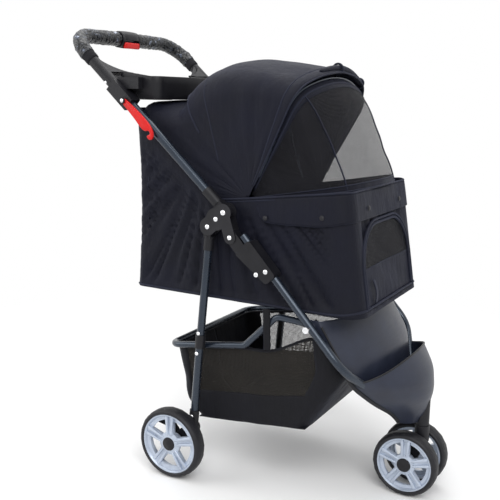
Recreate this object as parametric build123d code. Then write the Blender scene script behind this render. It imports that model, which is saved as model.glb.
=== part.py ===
from build123d import *
import os
from math import atan2, cos, degrees, hypot, radians, sin, sqrt, tan

# A folding three-wheel pet stroller, in millimetres and degrees.
# +X is forward, +Y is the stroller's left, +Z is up, and the ground is z = 0.

# Fits
RUN_CLEAR = 0.05        # radial play of a pin or axle in its bore
SEAT_CLEAR = 0.05       # radial play of a tube in its socket
SOFT_CLEAR = 0.4        # air between cloth pieces
FACE_CLEAR = 0.3        # air between flat faces that slide past each other
OVERRUN = 1.0           # how far a cutter runs past the face it opens
OPEN_TOP = 60.0         # how far a hollow runs past an open top

# Wheels
REAR_WHEEL_R = 78.0
FRONT_WHEEL_R = 70.0
TYRE_WIDTH = 32.0
TYRE_DEPTH = 11.0       # tread to rim seat
TYRE_CROWN = 5.0        # how far the tread's shoulders drop
RIM_WIDTH = 27.0
RIM_WALL = 4.0
HUB_RADIUS = 15.0
WEB_THICKNESS = 5.0
SPOKES = 5
SPOKE_RIDGE = 5.0       # width of one ridge of a spoke
SPOKE_SPREAD = 7.0      # half the distance between a spoke's two ridges
RIDGE_HEIGHT = 3.0
WINDOW_NEAR = 21.0      # window's inner radius
RIM_BAND = 10.0         # rim's seat to the windows
CAP_HEIGHT = 4.0
CAP_STEP = 0.6          # cap's wide part, as a share of its height
CAP_NARROW = 0.7        # radius of its top, as a share of the hub's
AXLE_D = 10.0
REAR_AXLE_X = -121.0
FRONT_AXLE_X = 345.0
WHEEL_GAP = 1.0         # rear tyre to the sleeve beside it
FRONT_WHEEL_Y = 33.0
AXLE_PROUD = 1.0        # axle end past the hub's outer face

# Frame tubes
FRAME_HALF = 194.0      # tube centre lines from the centre plane
HANDLE_TUBE_D = 19.0
LEG_TUBE_D = 17.0
TUBE_WALL = 1.5
PIVOT_X = -7.0          # fold pivot
PIVOT_Z = 592.0
REAR_PIVOT_X = -44.0    # rear leg pivot
REAR_PIVOT_Z = 560.0
STOP_SHARE = 0.46       # stop rivet's place on the way from the fold pivot to the rear leg pivot
PIN_D = 8.0
PIN_HEAD_D = 13.0
PIN_HEAD_H = 3.0
HEAD_STEP = 0.4         # rivet head's wide part, as a share of its height
HEAD_NARROW = 0.72      # its top's diameter, as a share of the head's

# Handle
HANDLE_LEAN = 41.6      # above the horizontal, towards the rear
HANDLE_REACH = 536.0    # fold pivot to the axis of the grip bar
HANDLE_CORNER = 62.0
HANDLE_TUBE_START = 30.0
KNUCKLE_R = 14.0
NECK_HALF = 11.0
SLEEVE_WALL = 2.0
SLEEVE_START = 24.0
SLEEVE_END = 62.0
GRIP_D = 35.0
GRIP_RUN = 81.0         # grip bar to a grip's lower end, along the handle
HOUSING_D = 40.0
HOUSING_HALF = 32.0
BUTTON_LENGTH = 48.0
BUTTON_DEPTH = 12.0
BUTTON_HEIGHT = 10.0
BUTTON_TRAVEL = 5.0
BUTTON_ROUND = 2.5
CABLE_D = 3.0

# Tray
TRAY_LENGTH = 118.0
TRAY_GAP = 5.5          # handle tube to the tray's end
TRAY_DROP = 87.86       # grip bar's axis to the tray's rim
TRAY_DEPTH = 30.0
TRAY_WALL = 3.0
TRAY_CLEAR = 14.0       # canopy to the tray's front
TRAY_CORNER = 22.0
CUP_D = 74.0
CUP_DEPTH = 52.0
CUP_INSET = 67.0        # tray's end to a cup's axis
BRACKET_WALL = 5.0
BRACKET_BELOW = 91.7    # bracket's lower end below the level of the tray's rim, along the handle
BRACKET_RUN = 64.0
BRACKET_EAR = 15.0      # how far the bracket's ear passes the tray's middle
ARM_GAP = 3.0           # tray arm's upper end to the grip
ARM_WALL = 3.0
WEB_T = 3.0
WEB_REACH = 85.0        # arm's web along the tray's rear rim
WEB_ACROSS = 8.0        # web in front of the tube's axis
WEB_SWEEP = 1.5         # how hollow the web's free edge is: 1 is straight
WEB_STEPS = 8

# Storage hook
HOOK_PIVOT_RISE = 14.0  # bracket's lower end to the hook's pivot
HOOK_LENGTH = 109.0
HOOK_THICKNESS = 5.0
HOOK_HALF = 9.0
HOOK_EYE = 4.0          # how far the hook's end is wider than its shank
HOOK_STUD_D = 7.0
CATCH_AT = 287.0        # catch pin's place along the front leg

# Front legs and the plastic at their ends
LEG_LEAN = 47.1         # below the horizontal, towards the front
LEG_TUBE_START = 60.0
LEG_STRAIGHT = 390.0    # fold pivot to the inward bend
LEG_BEND = 70.0
LEG_END = (338.0, 34.0, 178.0)
PLATE_T = 1.8
PLATE_R = 18.0
PLATE_MID_R = 23.0
TONGUE_R = 13.0
LOCK_RIVET = (47.0, -22.0)      # along and across the front leg
LOCK_START = 40.0
LOCK_BODY = 78.0
LOCK_END = 168.0
LOCK_TOP = 12.0
LOCK_TONGUE_TOP = -6.0
LOCK_LOW = -33.0
LOCK_TAPER = 16.0
LOCK_ROUND = 7.0
LOCK_RIVETS = ((140.0, -21.0), (148.0, 0.0))
RIVET_D = 10.0
RIVET_H = 3.0

# Front shell, given level by level as (height, rear x, front x, half width as a share of the frame's)
SHELL_WALL = 3.0
BOWL_LEVELS = (
    (157.0, 328.0, 360.0, 0.186),
    (185.0, 318.0, 375.0, 0.320),
    (223.0, 298.0, 382.0, 0.619),
    (262.0, 270.0, 376.0, 0.825),
    (312.0, 246.0, 346.0, 0.928),
)
BOWL_RIM_MID = 311.0
BOWL_RIM_SIDE = 246.0
BOWL_RIM_OVER = 6.0     # how far the rim's curve is drawn past the frame
PANEL_LEVELS = (
    (215.0, 300.0, 330.0, 0.536),
    (255.0, 272.0, 320.0, 0.753),
    (314.0, 250.0, 307.0, 0.938),
    (384.0, 204.0, 266.0, 0.938),
)
TUBE_NOTCH = 0.8        # air between the shell and the legs that pass it
SOCKET_R = 14.0
SOCKET_LOW = 150.0
SOCKET_HIGH = 204.0
SOCKET_BLOCK = (322.0, 366.0, 46.0, 163.0, 195.0)
CASTER_X = 366.0
STEM_D = 12.0
STEM_TOP = 198.0
FORK_HALF = 13.0
FORK_TOP = 128.0
FORK_R = 13.0
FLANGE_R = 15.5

# Rear legs
REAR_LEG_BEND = (-71.0, 269.0)
REAR_LEG_FOOT = (-84.0, 112.0)
REAR_LEG_ROUND = 150.0
REAR_TUBE_START = 22.0
REAR_KNUCKLE_R = 12.0
REAR_SLEEVE_START = 20.0
REAR_SLEEVE_END = 50.0
BRACKET_TOP = 152.0
BRACKET_HALF = 8.0
BRACKET_R = 13.0
BOSS_R = 10.0
SADDLE_HIGH = 30.0
SADDLE_PAD_R = 6.0
SADDLE_AT = 0.91        # share of the way down the upper run of the rear leg
BRAKE_X = -146.0
BRAKE_Z = 108.0
BRAKE_LENGTH = 36.0
BRAKE_RISE = 6.0
BRAKE_R = 7.0
BRAKE_PIN_D = 6.0

# Basket
RAIL_D = 14.0
RAIL_GAP = 20.0         # rail's centre line inside the frame's
RAIL_BENDS = ((104.0, 386.0), (31.0, 312.0), (-160.0, 281.0))
RAIL_RADII = (24.0, 24.0, 30.0)
RAIL_EYE_R = 9.5
RAIL_TUBE_START = 8.0
BASKET_CLOTH = 2.5
BASKET_LOW = ((-128.0, 157.0), (-92.0, 126.0), (164.0, 152.0), (250.0, 268.0), (236.0, 318.0), (190.0, 356.0))

# Cabin and hood
CABIN_GAP = 15.0        # cabin's side inside the frame's centre line
CLOTH = 3.0
CABIN_CORNER = 40.0
CABIN_REAR_X = -247.0
CABIN_REAR_CORNER = 20.0
CABIN_FLOOR_Z = 405.0
CABIN_FRONT_LOW_X = 285.0
CABIN_RIM = (246.0, 646.0)
HOOD_X = 35.0           # axis that the hood is drawn about
HOOD_Z = 621.0
HOOD_R = 290.0
HOOD_CORNER = 60.0
HOOD_TURN = 70.0        # how far a hood corner turns before the crown
HOOD_FRONT = 64.5       # angles of the hood's edges about its axis
SEAM_FOOT = 40.0        # seam of canopy and cabin leaves the handle's line here
SEAM_DROP = 8.0         # seam below the handle's line
WALL_DROP = 16.0        # cabin's slanting rear top below the handle's line
BOW_D = 5.0
REAR_BOW = 114.0
BOW_FOOT = 24.0
BOW_SET = 1.5           # front bow's angle behind the canopy's edge
VISOR_GAP = 12.0        # visor's side inside the cabin's
VISOR_CLOTH = 2.5
VISOR_LEVELS = ((63.5, 277.0), (45.0, 252.0), (28.0, 229.0), (6.9, 219.0))
VISOR_CORNER = 52.0
VISOR_PIN_D = 6.0
VISOR_BOSS_R = 10.0
VISOR_EDGE = 8.0        # visor's cloth starts this far from its axis
DOOR_MARGIN = 45.0      # cabin's side to the door's
DOOR_LOW = 419.0
DOOR_HIGH = 579.0
DOOR_CORNER = 88.0
DOOR_THICKNESS = 2.4
CUFF_THICKNESS = 2.2
CUFF_REAR_X = 62.0
CUFF_LOW_REAR = 577.0
CUFF_LOW_FRONT = 592.0
CUFF_GAP = 5.0          # rim to the top of the cuff
BOARD_THICKNESS = 6.0
BOARD_INSET = 8.0

SIDES = {"left": 1, "right": -1}
PARTS = {}

REAR_WHEEL_Y = FRAME_HALF + LEG_TUBE_D / 2 + SEAT_CLEAR + SLEEVE_WALL + WHEEL_GAP + TYRE_WIDTH / 2
CABIN_HALF = FRAME_HALF - CABIN_GAP
VISOR_HALF = CABIN_HALF - VISOR_GAP
DOOR_HALF = CABIN_HALF - DOOR_MARGIN
RAIL_HALF = FRAME_HALF - RAIL_GAP
BOWL_RIM_HALF = FRAME_HALF + BOWL_RIM_OVER
GRIP_START = HANDLE_REACH - GRIP_RUN
TRAY_HALF = FRAME_HALF - HANDLE_TUBE_D / 2 - TRAY_GAP
TRAY_TOP = PIVOT_Z + HANDLE_REACH * sin(radians(HANDLE_LEAN)) - TRAY_DROP
TRAY_LOW = TRAY_TOP - TRAY_DEPTH
TRAY_FRONT_X = HOOD_X - sqrt(HOOD_R ** 2 - (TRAY_LOW - HOOD_Z) ** 2) - TRAY_CLEAR
TRAY_ALONG = (TRAY_TOP - PIVOT_Z) / sin(radians(HANDLE_LEAN))
BRACKET_START = TRAY_ALONG - BRACKET_BELOW
BRACKET_END = BRACKET_START + BRACKET_RUN
CUP_Y = TRAY_HALF - CUP_INSET
HOOK_PIVOT = BRACKET_START + HOOK_PIVOT_RISE
LOCK_HALF = FRAME_HALF - CABIN_HALF - FACE_CLEAR
BASKET_HALF = RAIL_HALF - RAIL_D / 2 - FACE_CLEAR
TUBE_INNER = FRAME_HALF - HANDLE_TUBE_D / 2
TUBE_OUTER = FRAME_HALF + HANDLE_TUBE_D / 2
PLATE_INNER = TUBE_INNER - FACE_CLEAR
PLATE_OUTER = TUBE_OUTER + FACE_CLEAR
PIN_BORE = PIN_D / 2 + RUN_CLEAR


# Small helpers

def dot(x, z, radius):
    """A disc in a side view."""
    return Pos(x, z) * Circle(radius)


def outline(points):
    """A closed straight-sided face in a side view."""
    return make_face(Polyline(*points, close=True))


def capsule(start, end, radius):
    """The outline that two equal discs and their tangents make."""
    dx = end[0] - start[0]
    dz = end[1] - start[1]
    middle = Pos((start[0] + end[0]) / 2, (start[1] + end[1]) / 2)
    return middle * SlotCenterToCenter(hypot(dx, dz), 2 * radius, rotation=degrees(atan2(dz, dx)))


def slab(sketch, y_from, y_to):
    """Side-view sketch given thickness between two Y planes."""
    low, high = sorted((y_from, y_to))
    return extrude(Plane.XZ.offset(-high) * sketch, high - low)


def rod(x, z, radius, y_from, y_to):
    return slab(dot(x, z, radius), y_from, y_to)


def pipe(points, radii, outer, bore=0.0):
    """A round bar or tube along straight runs with rounded corners."""
    path = FilletPolyline(*points, radius=radii) if len(points) > 2 else Line(*points)
    start = Plane(origin=path @ 0, z_dir=path % 0)
    section = start * Circle(outer / 2)
    if bore:
        section = section - start * Circle(bore / 2)
    return sweep(section, path=path)


def flip(part):
    return mirror(part, about=Plane.XZ)


def group(pieces):
    """Separate solids that are stored as one node."""
    return Compound([solid for piece in pieces for solid in piece.solids()])


def handle_at(along, y=0.0, across=0.0):
    """A point by its distance up the handle; across is towards the front and up."""
    lean = radians(HANDLE_LEAN)
    x = PIVOT_X - along * cos(lean) + across * sin(lean)
    z = PIVOT_Z + along * sin(lean) + across * cos(lean)
    return (x, y, z)


def handle_plane():
    """The plane of the tray arms' webs: local x is up the handle, local y is to the right."""
    up = Vector(*handle_at(1)) - Vector(*handle_at(0))
    front = Vector(*handle_at(0, 0, 1)) - Vector(*handle_at(0))
    return Plane(origin=handle_at(0, 0, WEB_ACROSS), x_dir=up, z_dir=front)


def leg_at(along, y=0.0, across=0.0):
    """A point by its distance down the front leg; across is towards the front and up."""
    lean = radians(LEG_LEAN)
    x = PIVOT_X + along * cos(lean) + across * sin(lean)
    z = PIVOT_Z - along * sin(lean) + across * cos(lean)
    return (x, y, z)


def side(point):
    return (point[0], point[2])


def hood_at(angle, radius, y=0.0):
    """A point by its angle and distance about the hood's axis."""
    return (HOOD_X + radius * cos(radians(angle)), y, HOOD_Z + radius * sin(radians(angle)))


def dome(x, z, y_face, sign, diameter, height):
    """A rivet head that stands on a face, pointing outwards."""
    step = y_face + sign * height * HEAD_STEP
    base = rod(x, z, diameter / 2, y_face, step)
    return base + rod(x, z, HEAD_NARROW * diameter / 2, step, y_face + sign * height)


# Wheels: rim with five double-ridged spokes, tyre and hub cap

def wheel_rim(radius):
    """A wheel's rim about the Y axis at the origin, with its outer face towards +Y."""
    half = RIM_WIDTH / 2
    seat = radius - TYRE_DEPTH
    window_far = seat - RIM_BAND
    barrel = rod(0, 0, seat, -half, half) - rod(0, 0, seat - RIM_WALL, -half, half)
    hub = rod(0, 0, HUB_RADIUS, -TYRE_WIDTH / 2, half)
    web_face = half - RIDGE_HEIGHT
    web = rod(0, 0, seat - RIM_WALL, web_face - WEB_THICKNESS, web_face)
    rim = barrel + hub + web
    step = 360.0 / SPOKES
    reach = seat - RIM_WALL - HUB_RADIUS
    for index in range(SPOKES):
        turn = Rot(0, 0, 90 + index * step)
        gap = turn * Rot(0, 0, step / 2)
        sector = Circle(window_far) - Circle(WINDOW_NEAR)
        wedge = outline([(0, 0), (2 * window_far, -window_far), (2 * window_far, window_far)])
        rim -= slab(gap * (sector & wedge), -half, half)
        for ridge in (-SPOKE_SPREAD, SPOKE_SPREAD):
            bar = turn * Pos(HUB_RADIUS + reach / 2, ridge) * Rectangle(reach + 2 * OVERRUN, SPOKE_RIDGE)
            rim += slab(bar, web_face - WEB_THICKNESS, half)
    return rim - rod(0, 0, AXLE_D / 2 + RUN_CLEAR, -TYRE_WIDTH, TYRE_WIDTH)


def wheel_tyre(radius):
    """A solid tyre about the Y axis at the origin."""
    half = TYRE_WIDTH / 2
    inner = radius - TYRE_DEPTH + SEAT_CLEAR
    shoulder = radius - TYRE_CROWN
    tread = ThreePointArc((half, shoulder), (0, radius), (-half, shoulder))
    walls = Polyline((-half, shoulder), (-half, inner), (half, inner), (half, shoulder))
    section = make_face(tread + walls)
    ring = revolve(section, axis=Axis.X)
    return Rot(0, 0, 90) * ring


def wheel_cap():
    face = RIM_WIDTH / 2
    step = face + CAP_HEIGHT * CAP_STEP
    base = rod(0, 0, HUB_RADIUS, face, step)
    top = rod(0, 0, HUB_RADIUS * CAP_NARROW, step, face + CAP_HEIGHT)
    bore = rod(0, 0, AXLE_D / 2 + RUN_CLEAR, face, face + AXLE_PROUD + FACE_CLEAR)
    return base + top - bore


def add_wheels():
    cap = wheel_cap()
    ends = (("rear", REAR_AXLE_X, REAR_WHEEL_Y, REAR_WHEEL_R),
            ("front", FRONT_AXLE_X, FRONT_WHEEL_Y, FRONT_WHEEL_R))
    for end, x, y, radius in ends:
        rim = wheel_rim(radius)
        tyre = wheel_tyre(radius)
        for name, sign in SIDES.items():
            place = Pos(x, sign * y, radius)
            for piece, solid in (("rim", rim), ("tyre", tyre), ("hub_cap", cap)):
                turned = solid if sign > 0 else flip(solid)
                PARTS[f"{end}_{piece}_{name}"] = place * turned


# Handle frame

def add_handle():
    half = FRAME_HALF
    corners = [handle_at(HANDLE_TUBE_START, -half), handle_at(HANDLE_REACH, -half),
               handle_at(HANDLE_REACH, half), handle_at(HANDLE_TUBE_START, half)]
    bore = HANDLE_TUBE_D - 2 * TUBE_WALL
    PARTS["handle_tube"] = pipe(corners, [HANDLE_CORNER, HANDLE_CORNER], HANDLE_TUBE_D, bore)

    seat = HANDLE_TUBE_D + 2 * SEAT_CLEAR
    grip_path = [handle_at(GRIP_START, half), handle_at(HANDLE_REACH, half),
                 handle_at(HANDLE_REACH, HOUSING_HALF)]
    grip = pipe(grip_path, [HANDLE_CORNER], GRIP_D, seat)
    aside = (bore - CABLE_D) / 2 - FACE_CLEAR
    cable_path = [handle_at(SLEEVE_END, half - aside), handle_at(HANDLE_REACH - aside, half - aside),
                  handle_at(HANDLE_REACH - aside, BUTTON_LENGTH / 2)]
    cable = pipe(cable_path, [HANDLE_CORNER - aside], CABLE_D)

    barrel = rod(PIVOT_X, PIVOT_Z, KNUCKLE_R, TUBE_INNER, TUBE_OUTER)
    neck_side = [side(handle_at(0, 0, -NECK_HALF)), side(handle_at(SLEEVE_START, 0, -NECK_HALF)),
                 side(handle_at(SLEEVE_START, 0, NECK_HALF)), side(handle_at(0, 0, NECK_HALF))]
    neck = slab(outline(neck_side), TUBE_INNER, TUBE_OUTER)
    sleeve = pipe([handle_at(SLEEVE_START, half), handle_at(SLEEVE_END, half)], [], seat + 2 * SLEEVE_WALL)
    socket = pipe([handle_at(HANDLE_TUBE_START, half), handle_at(SLEEVE_END + OVERRUN, half)], [], seat)
    knuckle = barrel + neck + sleeve - socket
    knuckle -= rod(PIVOT_X, PIVOT_Z, PIN_BORE, TUBE_INNER - OVERRUN, TUBE_OUTER + OVERRUN)

    for name, sign in SIDES.items():
        for node, solid in (("grip", grip), ("handle_knuckle", knuckle)):
            PARTS[f"{node}_{name}"] = solid if sign > 0 else flip(solid)
    PARTS["release_cables"] = group([cable, flip(cable)])

    bar_x, _, bar_z = handle_at(HANDLE_REACH)
    button_top = bar_z - HANDLE_TUBE_D / 2 - BUTTON_TRAVEL - FACE_CLEAR
    housing = rod(bar_x, bar_z, HOUSING_D / 2, -HOUSING_HALF, HOUSING_HALF)
    housing -= rod(bar_x, bar_z, seat / 2, -HOUSING_HALF, HOUSING_HALF)
    well = Box(BUTTON_DEPTH + 2 * FACE_CLEAR, BUTTON_LENGTH + 2 * FACE_CLEAR, HOUSING_D)
    housing -= Pos(bar_x, 0, bar_z - HOUSING_D / 2) * well
    PARTS["release_housing"] = housing
    button = Pos(bar_x, 0, button_top - BUTTON_HEIGHT / 2) * Box(BUTTON_DEPTH, BUTTON_LENGTH, BUTTON_HEIGHT)
    low_edges = button.edges().group_by(Axis.Z)[0]
    PARTS["release_button"] = fillet(low_edges, BUTTON_ROUND)


def add_tray():
    rear_x = TRAY_FRONT_X - TRAY_LENGTH
    middle_x = (rear_x + TRAY_FRONT_X) / 2
    outer = Pos(middle_x, 0) * RectangleRounded(TRAY_LENGTH, 2 * TRAY_HALF, TRAY_CORNER)
    inner = Pos(middle_x, 0) * RectangleRounded(
        TRAY_LENGTH - 2 * TRAY_WALL, 2 * (TRAY_HALF - TRAY_WALL), TRAY_CORNER - TRAY_WALL)
    tray = extrude(Plane.XY.offset(TRAY_LOW) * outer, TRAY_DEPTH)
    tray -= extrude(Plane.XY.offset(TRAY_LOW + TRAY_WALL) * inner, TRAY_DEPTH)
    cup_floor = TRAY_TOP - CUP_DEPTH
    for sign in SIDES.values():
        spot = Pos(middle_x, sign * CUP_Y)
        cup = extrude(Plane.XY.offset(cup_floor) * (spot * Circle(CUP_D / 2 + TRAY_WALL)), CUP_DEPTH)
        well = Plane.XY.offset(cup_floor + TRAY_WALL) * (spot * Circle(CUP_D / 2))
        tray += cup
        tray -= extrude(well, CUP_DEPTH)
    PARTS["parent_tray"] = tray

    half = FRAME_HALF
    seat = HANDLE_TUBE_D + 2 * SEAT_CLEAR
    width = HANDLE_TUBE_D / 2 + BRACKET_WALL
    block_side = [side(handle_at(BRACKET_START, 0, -width)), side(handle_at(BRACKET_END, 0, -width)),
                  side(handle_at(BRACKET_END, 0, width)), side(handle_at(BRACKET_START, 0, width))]
    block = slab(outline(block_side), TRAY_HALF, half + width)
    spots = sorted((middle_x, handle_at((BRACKET_START + BRACKET_END) / 2)[0]))
    ear_low = TRAY_LOW + TRAY_WALL
    ear_high = TRAY_TOP - TRAY_WALL
    ear_side = [(spots[0] - BRACKET_EAR, ear_low), (spots[1] + BRACKET_EAR, ear_low),
                (spots[1] + BRACKET_EAR, ear_high), (spots[0] - BRACKET_EAR, ear_high)]
    block += slab(outline(ear_side), TRAY_HALF, half)
    arm_end = GRIP_START - ARM_GAP
    block += pipe([handle_at(BRACKET_END, half), handle_at(arm_end, half)], [], seat + 2 * ARM_WALL)
    web_low = TRAY_ALONG + FACE_CLEAR
    web_side = [(web_low, -half)]
    for step in range(WEB_STEPS + 1):
        share = step / WEB_STEPS
        web_high = web_low + (arm_end - web_low) * (1 - share) ** WEB_SWEEP
        web_side.append((web_high, WEB_REACH * share ** WEB_SWEEP - half))
    block += extrude(handle_plane() * outline(web_side), WEB_T)
    block -= pipe([handle_at(BRACKET_START - OVERRUN, half), handle_at(arm_end + OVERRUN, half)], [], seat)
    for name, sign in SIDES.items():
        PARTS[f"tray_bracket_{name}"] = block if sign > 0 else flip(block)


def add_hook():
    """The storage hook lies along the right handle tube, outside its bracket."""
    near = FRAME_HALF + HANDLE_TUBE_D / 2 + BRACKET_WALL + FACE_CLEAR
    far = near + HOOK_THICKNESS
    pivot = side(handle_at(HOOK_PIVOT))
    tip = side(handle_at(HOOK_PIVOT - HOOK_LENGTH))
    neck = side(handle_at(HOOK_PIVOT - HOOK_LENGTH + 2 * HOOK_HALF))
    notch_r = PIN_D / 2 + FACE_CLEAR
    shape = capsule(pivot, neck, HOOK_HALF) + dot(tip[0], tip[1], HOOK_HALF + HOOK_EYE)
    mouth = side(handle_at(HOOK_PIVOT - HOOK_LENGTH, 0, -3 * HOOK_HALF))
    shape -= capsule(tip, mouth, notch_r)
    shape -= dot(pivot[0], pivot[1], HOOK_STUD_D / 2 + RUN_CLEAR)
    PARTS["storage_hook"] = slab(shape, -near, -far)
    stud = rod(pivot[0], pivot[1], HOOK_STUD_D / 2, -(near - FACE_CLEAR), -(far + FACE_CLEAR))
    stud += rod(pivot[0], pivot[1], HOOK_STUD_D, -(far + FACE_CLEAR), -(far + FACE_CLEAR + RIVET_H))
    PARTS["tray_bracket_right"] += stud


# Front frame

def leg_path(sign):
    start = leg_at(LEG_TUBE_START, sign * FRAME_HALF)
    bend = leg_at(LEG_STRAIGHT, sign * FRAME_HALF)
    return [start, bend, (LEG_END[0], sign * LEG_END[1], LEG_END[2])]


def add_front_legs():
    catch = side(leg_at(CATCH_AT))
    tube = pipe(leg_path(1), [LEG_BEND], LEG_TUBE_D, LEG_TUBE_D - 2 * TUBE_WALL)
    tube -= rod(catch[0], catch[1], PIN_D / 2 + SEAT_CLEAR, 0, 2 * FRAME_HALF)
    hook_face = FRAME_HALF + HANDLE_TUBE_D / 2 + BRACKET_WALL + HOOK_THICKNESS + 2 * FACE_CLEAR
    inner = RAIL_HALF - RAIL_D / 2 - FACE_CLEAR
    pin = rod(catch[0], catch[1], PIN_D / 2, inner, hook_face)
    pin += rod(catch[0], catch[1], PIN_HEAD_D / 2, hook_face, hook_face + RIVET_H)
    pin += rod(catch[0], catch[1], PIN_HEAD_D / 2, inner - RIVET_H, inner)
    for name, sign in SIDES.items():
        PARTS[f"front_leg_{name}"] = tube if sign > 0 else flip(tube)
    PARTS["catch_pins"] = group([pin, flip(pin)])


def add_hinges():
    pivot = (PIVOT_X, PIVOT_Z)
    rear = (REAR_PIVOT_X, REAR_PIVOT_Z)
    stop = (PIVOT_X + STOP_SHARE * (REAR_PIVOT_X - PIVOT_X), PIVOT_Z + STOP_SHARE * (REAR_PIVOT_Z - PIVOT_Z))
    rivet = side(leg_at(LOCK_RIVET[0], 0, LOCK_RIVET[1]))
    shape = capsule(pivot, rear, PLATE_R) + dot(stop[0], stop[1], PLATE_MID_R) + capsule(pivot, rivet, TONGUE_R)
    for x, z in (pivot, rear):
        shape -= dot(x, z, PIN_D / 2 + SEAT_CLEAR)
    plates = slab(shape, PLATE_INNER - PLATE_T, PLATE_INNER) + slab(shape, PLATE_OUTER, PLATE_OUTER + PLATE_T)

    head_in = PLATE_INNER - PLATE_T
    head_out = PLATE_OUTER + PLATE_T
    pins = []
    for x, z in (pivot, rear):
        pin = rod(x, z, PIN_D / 2, head_in, head_out)
        pins.append(pin + dome(x, z, head_out, 1, PIN_HEAD_D, PIN_HEAD_H))
    pins.append(dome(stop[0], stop[1], head_out, 1, RIVET_D, RIVET_H))
    pins.append(dome(rivet[0], rivet[1], head_out, 1, RIVET_D, RIVET_H))

    tongue_side = [side(leg_at(LOCK_START, 0, LOCK_LOW)), side(leg_at(LOCK_START, 0, LOCK_TONGUE_TOP)),
                   side(leg_at(LOCK_BODY, 0, LOCK_TONGUE_TOP)), side(leg_at(LOCK_BODY, 0, LOCK_LOW))]
    body_side = [side(leg_at(LOCK_BODY, 0, LOCK_LOW)), side(leg_at(LOCK_BODY, 0, LOCK_TOP)),
                 side(leg_at(LOCK_END, 0, LOCK_TOP)), side(leg_at(LOCK_END, 0, LOCK_LOW + LOCK_TAPER))]
    body = fillet(outline(body_side).vertices(), LOCK_ROUND)
    housing = slab(outline(tongue_side), TUBE_INNER, TUBE_OUTER)
    housing += slab(body, FRAME_HALF - LOCK_HALF, FRAME_HALF + LOCK_HALF)
    seat = LEG_TUBE_D + 2 * SEAT_CLEAR
    bore_from = leg_at(LEG_TUBE_START - FACE_CLEAR, FRAME_HALF)
    housing -= pipe([bore_from, leg_at(LOCK_END + OVERRUN, FRAME_HALF)], [], seat)
    lock_face = FRAME_HALF + LOCK_HALF
    for along, across in LOCK_RIVETS:
        x, z = side(leg_at(along, 0, across))
        pins.append(dome(x, z, lock_face, 1, RIVET_D, RIVET_H))
    PARTS["hinge_pins"] = group(pins + [flip(pin) for pin in pins])
    for name, sign in SIDES.items():
        PARTS[f"hinge_plates_{name}"] = plates if sign > 0 else flip(plates)
        PARTS[f"lock_housing_{name}"] = housing if sign > 0 else flip(housing)


def shell_solid(levels, inset=0.0, lift=0.0, back=0.0):
    """Solid through the shell's levels, each a straight rear edge and a round front."""
    faces = []
    for height, rear_x, front_x, share in levels:
        half = share * FRAME_HALF
        ends = [(rear_x - back, -(half - inset)), (front_x - inset, 0), (rear_x - back, half - inset)]
        face = make_face(ThreePointArc(*ends) + Line(ends[2], ends[0]))
        faces.append(Plane.XY.offset(height + lift) * face)
    return loft(faces)


def add_front_shell():
    envelopes = [pipe(leg_path(sign), [LEG_BEND], LEG_TUBE_D + 2 * TUBE_NOTCH) for sign in SIDES.values()]
    bowl = shell_solid(BOWL_LEVELS) - shell_solid(BOWL_LEVELS, SHELL_WALL, SHELL_WALL, SHELL_WALL)
    low = BOWL_LEVELS[0][0] - OVERRUN
    rim = ThreePointArc((-BOWL_RIM_HALF, BOWL_RIM_SIDE), (0, BOWL_RIM_MID), (BOWL_RIM_HALF, BOWL_RIM_SIDE))
    below = Polyline((BOWL_RIM_HALF, BOWL_RIM_SIDE), (BOWL_RIM_HALF, low),
                     (-BOWL_RIM_HALF, low), (-BOWL_RIM_HALF, BOWL_RIM_SIDE))
    bowl &= extrude(Plane.YZ * make_face(rim + below), 2 * CASTER_X)
    panel = shell_solid(PANEL_LEVELS) - Pos(-SHELL_WALL, 0, 0) * shell_solid(PANEL_LEVELS)
    collar = Pos(CASTER_X, 0) * Circle(SOCKET_R + FACE_CLEAR)
    bowl -= extrude(Plane.XY.offset(SOCKET_LOW) * collar, SOCKET_HIGH - SOCKET_LOW + FACE_CLEAR)

    x_from, x_to, half, z_from, z_to = SOCKET_BLOCK
    block = Pos((x_from + x_to) / 2, 0, (z_from + z_to) / 2) * Box(x_to - x_from, 2 * half, z_to - z_from)
    room = shell_solid(BOWL_LEVELS, SHELL_WALL + FACE_CLEAR, SHELL_WALL + FACE_CLEAR, SHELL_WALL)
    column = extrude(Plane.XY.offset(SOCKET_LOW) * (Pos(CASTER_X, 0) * Circle(SOCKET_R)), SOCKET_HIGH - SOCKET_LOW)
    socket = (block & room) + column
    stem_bore = Pos(CASTER_X, 0) * Circle(STEM_D / 2 + RUN_CLEAR)
    socket -= extrude(Plane.XY.offset(SOCKET_LOW) * stem_bore, STEM_TOP - SOCKET_LOW + FACE_CLEAR)
    for sign, envelope in zip(SIDES.values(), envelopes):
        bowl -= envelope
        panel -= envelope
        socket -= pipe(leg_path(sign), [LEG_BEND], LEG_TUBE_D + 2 * SEAT_CLEAR)
    PARTS["nose_bowl"] = bowl
    PARTS["front_panel"] = panel
    PARTS["caster_socket"] = socket


def add_caster():
    flange_top = SOCKET_LOW - FACE_CLEAR
    stem = extrude(Plane.XY.offset(FORK_TOP) * (Pos(CASTER_X, 0) * Circle(STEM_D / 2)), STEM_TOP - FORK_TOP)
    flange = extrude(Plane.XY.offset(FORK_TOP - FORK_R) * (Pos(CASTER_X, 0) * Circle(FLANGE_R)),
                     flange_top - FORK_TOP + FORK_R)
    arm = slab(capsule((FRONT_AXLE_X, FRONT_WHEEL_R), (CASTER_X, FORK_TOP - FORK_R), FORK_R),
               -FORK_HALF, FORK_HALF)
    fork = stem + flange + arm
    PARTS["caster_fork"] = fork - rod(FRONT_AXLE_X, FRONT_WHEEL_R, AXLE_D / 2 + SEAT_CLEAR, -FORK_HALF, FORK_HALF)
    reach = FRONT_WHEEL_Y + RIM_WIDTH / 2 + AXLE_PROUD
    PARTS["front_axle"] = rod(FRONT_AXLE_X, FRONT_WHEEL_R, AXLE_D / 2, -reach, reach)


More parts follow.
